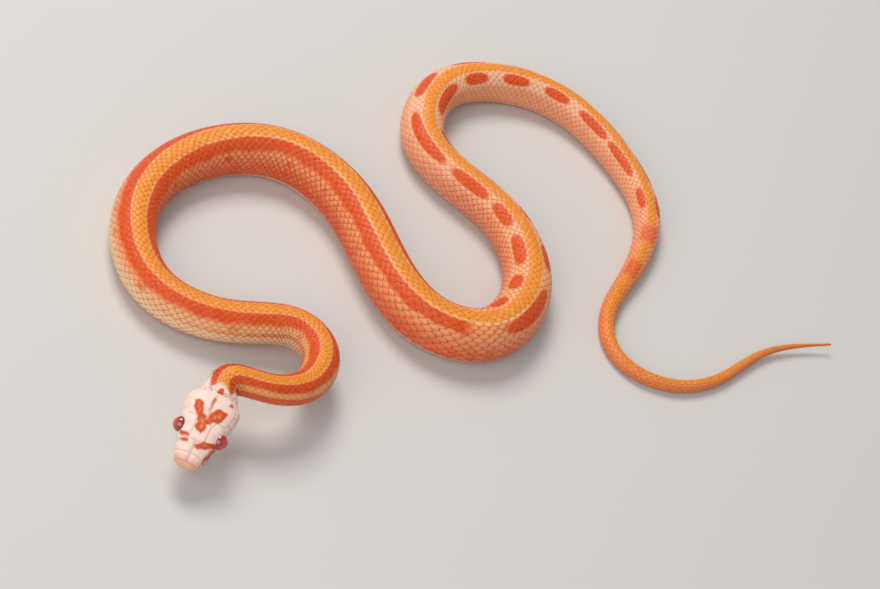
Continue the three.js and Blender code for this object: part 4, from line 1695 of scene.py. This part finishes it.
@dataclass
class Coat:
    """The rows of scales over the back and flanks."""

    form: SnakeForm
    marks: Markings
    first: float = -1.25
    start: float = -0.6
    start_behind_jaw: float = -1.2
    jaw_side: tuple = (40, 90)
    before_tip: float = 0.5
    belly_edge: float = 116.0
    relief: float = 0.16
    relief_to_width: float = 0.16
    more_at_nape: float = 0.09
    overlap: float = 1.45
    spread: float = 1.84
    turn: float = 0.03
    size_range: tuple = (0.96, 1.04)
    relief_range: tuple = (0.9, 1.1)
    seed: int = 100
    row_pitch: tuple = (
        (-2, 0.55), (4, 0.62), (20, 0.85), (60, 1.02), (100, 1.15), (150, 1.08), (200, 0.95),
        (222, 0.9), (240, 0.9), (265, 0.8), (282, 0.6),
    )
    rows_round: tuple = (
        (-2, 23), (10, 23), (60, 26), (120, 27), (160, 25), (190, 21), (220, 18), (230, 14),
        (245, 10), (265, 8), (282, 6),
    )
    lengths: tuple = (
        ("neck", 33.0), ("forebody", 84.0), ("midbody_front", 121.0), ("midbody_rear", 158.0),
        ("hindbody", 221.0), ("tail", 1000.0),
    )

    def _rows(self) -> list[tuple[float, float]]:
        """Places the cross rows, each one pitch behind the last, and gives each one's pitch."""
        rows, at = [], self.first
        while True:
            pitch = read_number(self.row_pitch, at)
            rows.append((at, pitch))
            if at >= self.form.end - 0.8:
                return rows
            at += pitch

    def roots(self) -> dict[str, np.ndarray]:
        """Places every scale.

        Returns:
            The distance, angle, cross pitch in degrees and row pitch of each.
        """
        found = []
        for row, pitch in self._rows():
            for half in (0, 1):
                at = row + half * pitch / 2
                cross = 2 * self.belly_edge / read_number(self.rows_round, at)
                reach = int(self.belly_edge / cross) + 1
                steps = np.arange(-reach, reach + 1)
                degrees = steps[(steps % 2) == half] * cross
                degrees = degrees[np.abs(degrees) < self.belly_edge + 0.3 * cross]
                found += [(at, math.radians(turn), cross, pitch) for turn in degrees]
        d, angle, cross, pitch = np.array(found).T
        behind_jaw = smooth_step(*self.jaw_side, np.degrees(np.abs(angle)))
        keep = d > self.start + (self.start_behind_jaw - self.start) * behind_jaw
        keep &= d < self.form.end - self.before_tip
        return {"distance": d[keep], "angle": angle[keep], "cross": cross[keep], "pitch": pitch[keep]}

    def build(self, finish: bpy.types.Material) -> list[bpy.types.Object]:
        """Builds the coat in lengths.

        Args:
            finish: The scales' material.

        Returns:
            One object for each length.
        """
        leaf = ScaleLeaf().build()
        tree = CoatTree()
        roots = self.roots()
        start, coats = -100.0, []
        for seed, (name, stop) in enumerate(self.lengths):
            part = (roots["distance"] >= start) & (roots["distance"] < stop)
            points = self._points(name, {key: value[part] for key, value in roots.items()}, seed)
            coat = tree.grow(f"scales_{name}", points, leaf, finish, self.turn, seed)
            self._mark(coat.data)
            coats.append(coat)
            start = stop
        bpy.data.objects.remove(leaf)
        return coats

    def _mark(self, mesh: bpy.types.Mesh) -> None:
        """Stores the pattern at every vertex, so that a marking's edge can cross a scale.

        Args:
            mesh: The coat's mesh, with what its roots stored on it.
        """
        read = {}
        for name in ("root_distance", "root_angle", "reach_along", "reach_round"):
            read[name] = np.empty(len(mesh.vertices), dtype=np.float32)
            mesh.attributes[name].data.foreach_get("value", read[name])
        leaf = np.empty(len(mesh.vertices) * 3, dtype=np.float32)
        mesh.attributes["leaf"].data.foreach_get("vector", leaf)
        leaf = leaf.reshape(-1, 3)
        distance = read["root_distance"] + leaf[:, 0] * read["reach_along"]
        angle = read["root_angle"] - leaf[:, 1] * read["reach_round"]
        add_values(mesh, self.marks.read(self.form, distance, angle))
        keep = {"rim", "chance", "leaf", *Markings.NAMES}
        for name in [a.name for a in mesh.attributes if a.data_type in ("FLOAT", "FLOAT_VECTOR")]:
            if name not in keep and name != "position":
                mesh.attributes.remove(mesh.attributes[name])

    def _points(self, name: str, roots: dict[str, np.ndarray], seed: int) -> bpy.types.Object:
        """Makes the points of one length, with all that the tree reads stored on them.

        Args:
            name: The length's name.
            roots: The places of its scales.
            seed: Its number.

        Returns:
            An object of vertices alone.
        """
        d, angle = roots["distance"], roots["angle"]
        form = self.form
        outward, backward = form.directions(d, angle)
        here = form.surface(d, angle)
        step = roots["pitch"] / 2
        along = np.linalg.norm(form.surface(d + step, angle) - form.surface(d - step, angle), axis=1)
        half_turn = np.radians(roots["cross"]) / 2
        side_step = form.surface(d, angle + half_turn) - form.surface(d, angle - half_turn)
        across = np.linalg.norm(side_step, axis=1)
        rng = np.random.default_rng(self.seed + seed)
        size = rng.uniform(*self.size_range, len(d))
        relief = np.minimum(self.relief, self.relief_to_width * across)
        relief *= rng.uniform(*self.relief_range, len(d))
        inset = form.sink(d, self.more_at_nape)
        points = make_mesh(f"points_{name}", here - outward * inset[:, None], [])
        sizes = np.stack([along * self.overlap * size, across * self.spread * size, relief], 1)
        add_values(points.data, {
            "chance": rng.uniform(0, 1, len(d)),
            "root_distance": d,
            "root_angle": angle,
            "reach_along": roots["pitch"] * self.overlap * size,
            "reach_round": np.radians(roots["cross"]) * self.spread * size,
        })
        place = np.column_stack([unwrap(form, d, angle), np.zeros(len(d))])
        add_vectors(points.data, {
            "outward": outward, "backward": backward, "leaf_size": sizes * MM, "root_place": place,
        })
        return points


@dataclass
class BellyPlates:
    """The broad plates under the body and the paired ones under the tail."""

    form: SnakeForm
    row_pitch: tuple
    first: float = 1.0
    before_tip: float = 1.5
    edge: float = 122.0
    thickness: float = 0.07
    columns: int = 14
    vent: float = 222.0
    paired_gap: float = 0.03
    inset_more: float = 0.01
    highest: float = 0.03
    under: float = 0.06
    edge_colour: tuple = (0.75, 1.0)
    patch: float = 0.0012
    # Where a plate's cross lines lie, in plates, and how far each rises, in thicknesses.
    rows: tuple = (-0.25, 0.1, 0.6, 1.0, 1.06)
    rises: tuple = (-0.8, 0.2, 0.6, 1.0, 0.55)

    def build(self, finish: bpy.types.Material) -> bpy.types.Object:
        """Builds all plates as one mesh.

        Args:
            finish: The plates' material.

        Returns:
            The belly.
        """
        vertices, faces, flank, places = [], [], [], []
        at, count = self.first, 0
        while at < self.form.end - self.before_tip:
            pitch = read_number(self.row_pitch, at)
            spans = [(-1, 1)] if at < self.vent else [(-1, -self.paired_gap), (self.paired_gap, 1)]
            for low, high in spans:
                points, quads, edge, place = self._plate(at, pitch, low, high)
                vertices.append(points)
                faces += [tuple(count + i for i in quad) for quad in quads]
                flank.append(edge)
                places.append(place)
                count += len(points)
            at += pitch
        piece = make_mesh("belly_plates", np.vstack(vertices), faces)
        add_values(piece.data, {"flank_edge": np.concatenate(flank)})
        add_unwrap(piece.data, np.vstack(places))
        piece.data.materials.append(finish)
        return piece

    def _plate(self, at: float, pitch: float, low: float,
               high: float) -> tuple[np.ndarray, list, np.ndarray, np.ndarray]:
        """Makes one plate: a thin closed strip across the belly that overlaps the next.

        Args:
            at: The plate's distance behind the nape.
            pitch: Its length.
            low: Where it starts across the belly, from -1.
            high: Where it ends, up to 1.

        Returns:
            Its vertices, its faces, how near its vertices are to the flank, and their unwrap.
        """
        rows = np.array(self.rows)
        reach = math.radians(180 - self.edge)
        across = np.linspace(low, high, self.columns + 1)
        d = np.repeat(at + rows * pitch, len(across))
        angle = math.pi + np.tile(across, len(rows)) * reach
        rise = np.repeat(np.array(self.rises) * self.thickness, len(across))
        outward, _ = self.form.directions(d, angle)
        inset = self.form.sink(d, 0.0) + self.inset_more
        base = self.form.surface(d, angle)
        limit = np.minimum(rise - inset + self.highest, 0.0)
        top = base + outward * limit[:, None]
        below = base - outward * (inset + self.under)[:, None]
        points = np.vstack([top, below])
        width, count = len(across), len(top)
        quads = []
        for r in range(len(rows) - 1):
            for c in range(width - 1):
                a = r * width + c
                quads.append((a, a + 1, a + width + 1, a + width))
                quads.append((count + a + width, count + a + width + 1, count + a + 1, count + a))
        last = (len(rows) - 1) * width
        for c in range(width - 1):
            quads.append((count + c, count + c + 1, c + 1, c))
            quads.append((last + c, last + c + 1, count + last + c + 1, count + last + c))
        for r in range(len(rows) - 1):
            a, b = r * width, (r + 1) * width
            quads.append((a, b, count + b, count + a))
            a, b = a + width - 1, b + width - 1
            quads.append((count + a, count + b, b, a))
        edge = smooth_step(*self.edge_colour, np.abs(np.tile(across, 2 * len(rows))))
        middle = unwrap(self.form, np.array([at]), np.array([math.pi * 0.98]))
        spread_out = np.stack([np.tile(d - at, 2), np.tile(angle - math.pi, 2)], 1) * self.patch
        return points, quads, edge, middle + spread_out


@dataclass
class Eyes:
    """The two eyes, each under a clear domed cap."""

    form: SnakeForm
    rings: int = 40
    sides: int = 64
    aim: tuple = (1.0, -0.16, 0.20)

    def build(self, side: Side, finish: bpy.types.Material) -> bpy.types.Object:
        """Builds one eye as a closed ball about its own outward axis.

        Args:
            side: Which side of the head it is on.
            finish: The eye's material.

        Returns:
            The eye.
        """
        axis = unit(np.array([self.aim]) * (side.value, 1, 1))[0]
        first = unit(np.cross(axis, [[0.0, 0.0, 1.0]]))[0]
        second = np.cross(axis, first)
        polar = np.linspace(0, math.pi, self.rings + 1)[1:-1]
        turn = np.linspace(0, 2 * math.pi, self.sides, endpoint=False)
        p, q = np.repeat(polar, self.sides), np.tile(turn, len(polar))
        ball = (np.cos(p)[:, None] * axis + np.sin(p)[:, None]
                * (np.cos(q)[:, None] * first + np.sin(q)[:, None] * second))
        ball = np.vstack([ball, axis, -axis])
        centre = np.array([side.value * EYE_OUT, EYE_BEHIND_SNOUT - HEAD_LENGTH, EYE_UP])
        vertices = self.form.head_place(centre + ball * EYE_RADIUS)
        n, last = self.sides, (len(polar) - 1) * self.sides
        faces = [(r + (i + 1) % n, r + i, r + n + i, r + n + (i + 1) % n)
                 for r in range(0, last, n) for i in range(n)]
        top, bottom = len(vertices) - 2, len(vertices) - 1
        faces += [(i, (i + 1) % n, top) for i in range(n)]
        faces += [(last + (i + 1) % n, last + i, bottom) for i in range(n)]
        piece = make_mesh(f"eye_ball_{side.name.lower()}", vertices, faces)
        fix_normals(piece.data)
        from_axis = np.concatenate([np.sin(p) + 2 * (np.cos(p) < 0), [0, 3]])
        add_values(piece.data, {"from_axis": from_axis})
        add_unwrap(piece.data, np.stack([
            np.concatenate([q / (2 * math.pi), [0, 0]]), np.concatenate([p / math.pi, [0, 1]]),
        ], 1) * 0.9 + 0.05)
        piece.data.materials.append(finish)
        return piece


def fix_normals(mesh: bpy.types.Mesh) -> None:
    """Turns a closed mesh's faces outwards if its volume comes out negative.

    Args:
        mesh: The closed mesh.
    """
    mesh.calc_loop_triangles()
    corners = np.empty(len(mesh.loop_triangles) * 3, dtype=np.int32)
    mesh.loop_triangles.foreach_get("vertices", corners)
    places = np.empty(len(mesh.vertices) * 3)
    mesh.vertices.foreach_get("co", places)
    a, b, c = places.reshape(-1, 3)[corners].reshape(-1, 3, 3).transpose(1, 0, 2)
    if np.einsum("ij,ij->i", a, np.cross(b, c)).sum() < 0:
        mesh.flip_normals()


@dataclass(frozen=True)
class View:
    """The camera: how far it looks down, how it is rolled and how far off it stands."""

    look_down: float = 44.0
    roll: float = 26.0
    focal_pixels: float = 2400.0
    picture_width: float = 880.0
    pixels_per_mm: float = 7.7
    sensor: float = 36.0
    reach: tuple = (0.01, 10.0)

    def build(self) -> None:
        """Builds the camera and makes it the scene's own."""
        tilt, roll = math.radians(self.look_down), math.radians(self.roll)
        forward = Vector((0, math.cos(tilt), -math.sin(tilt)))
        plain_up, plain_right = Vector((0, math.sin(tilt), math.cos(tilt))), Vector((1, 0, 0))
        up = math.cos(roll) * plain_up - math.sin(roll) * plain_right
        right = math.cos(roll) * plain_right + math.sin(roll) * plain_up
        target = Vector((-FLOOR_CENTRE[0], -FLOOR_CENTRE[1], 0)) * MM
        away = self.focal_pixels / self.pixels_per_mm * MM
        turn = Matrix((right, up, -forward)).transposed().to_4x4()
        data = bpy.data.cameras.new("camera")
        data.sensor_width = self.sensor
        data.lens = self.focal_pixels / self.picture_width * self.sensor
        data.clip_start, data.clip_end = self.reach
        camera = bpy.data.objects.new("camera", data)
        camera.matrix_world = Matrix.Translation(target - forward * away) @ turn
        bpy.context.scene.collection.objects.link(camera)
        bpy.context.scene.camera = camera


@dataclass(frozen=True)
class Lamp:
    """A soft square light that points at the snake."""

    name: str
    place: tuple
    size: float
    power: float
    tint: tuple

    def build(self) -> None:
        """Builds the light."""
        data = bpy.data.lights.new(self.name, "AREA")
        data.size, data.energy, data.color = self.size, self.power, self.tint
        light = bpy.data.objects.new(self.name, data)
        light.location = self.place
        light.rotation_euler = (-Vector(self.place)).to_track_quat("-Z", "Y").to_euler()
        bpy.context.scene.collection.objects.link(light)


@dataclass(frozen=True)
class Studio:
    """A pale floor, soft light from behind and from the front on the left, and a dim sky."""

    floor_size: float = 3.0
    floor_colour: Colour = rgb(0.62, 0.60, 0.58)
    floor_darker: Colour = rgb(0.5, 0.49, 0.48)
    lamps: tuple = (
        Lamp("key", (-0.22, 0.20, 0.40), 0.22, 1.6, (1.0, 0.96, 0.90)),
        Lamp("fill", (-0.14, -0.38, 0.30), 0.45, 1.25, (0.98, 0.98, 1.0)),
    )
    sky: Colour = rgb(0.95, 0.97, 1.0)
    sky_strength: float = 0.38

    def build(self) -> None:
        """Builds the floor, the lights and the sky."""
        half = self.floor_size / 2 / MM
        corners = np.array([(-half, -half, 0), (half, -half, 0), (half, half, 0), (-half, half, 0)])
        floor = make_mesh("floor", corners, [(0, 1, 2, 3)], smooth=False)
        maker = ShaderMaker("floor")
        colour = maker.mix(maker.noise(60.0) * 0.1, self.floor_colour, self.floor_darker)
        floor.data.materials.append(maker.surface({"Base Color": colour}, {"Roughness": 0.7}))
        for lamp in self.lamps:
            lamp.build()
        world = bpy.data.worlds.new("sky")
        world.use_nodes = True
        background = world.node_tree.nodes["Background"]
        background.inputs["Color"].default_value = self.sky
        background.inputs["Strength"].default_value = self.sky_strength
        bpy.context.scene.world = world
        bpy.context.scene.view_settings.view_transform = "Standard"


def main() -> None:
    """Builds the snake and its setting, in order."""
    logging.basicConfig(level=logging.INFO, format="%(name)s: %(message)s")
    View().build()
    Studio().build()
    form, marks, finish = SnakeForm(), Markings(), SnakeSkin()
    skin = Skin(form, marks).build(HeadRelief(), HeadBlotches())
    fix_normals(skin.data)
    skin.data.materials.append(finish.between())
    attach(skin, ROOT)
    flesh = [name for name in frame["nodes"] if not name.startswith("eye_")]
    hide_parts(*flesh)
    LOG.info("skin: %d faces", len(skin.data.polygons))
    coat = Coat(form, marks)
    for piece in coat.build(finish.scales()):
        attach(piece, ROOT)
        LOG.info("%s: %d faces", piece.name, len(piece.data.polygons))
    belly = BellyPlates(form, coat.row_pitch).build(finish.belly())
    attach(belly, ROOT)
    LOG.info("belly: %d faces", len(belly.data.polygons))
    eye_finish = EyeFinish().make()
    for side in Side:
        eye = Eyes(form).build(side, eye_finish)
        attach(eye, ROOT)
        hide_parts(f"eye_{side.name.lower()}")
        LOG.info("%s: done", eye.name)


if __name__ == "__main__":
    main()
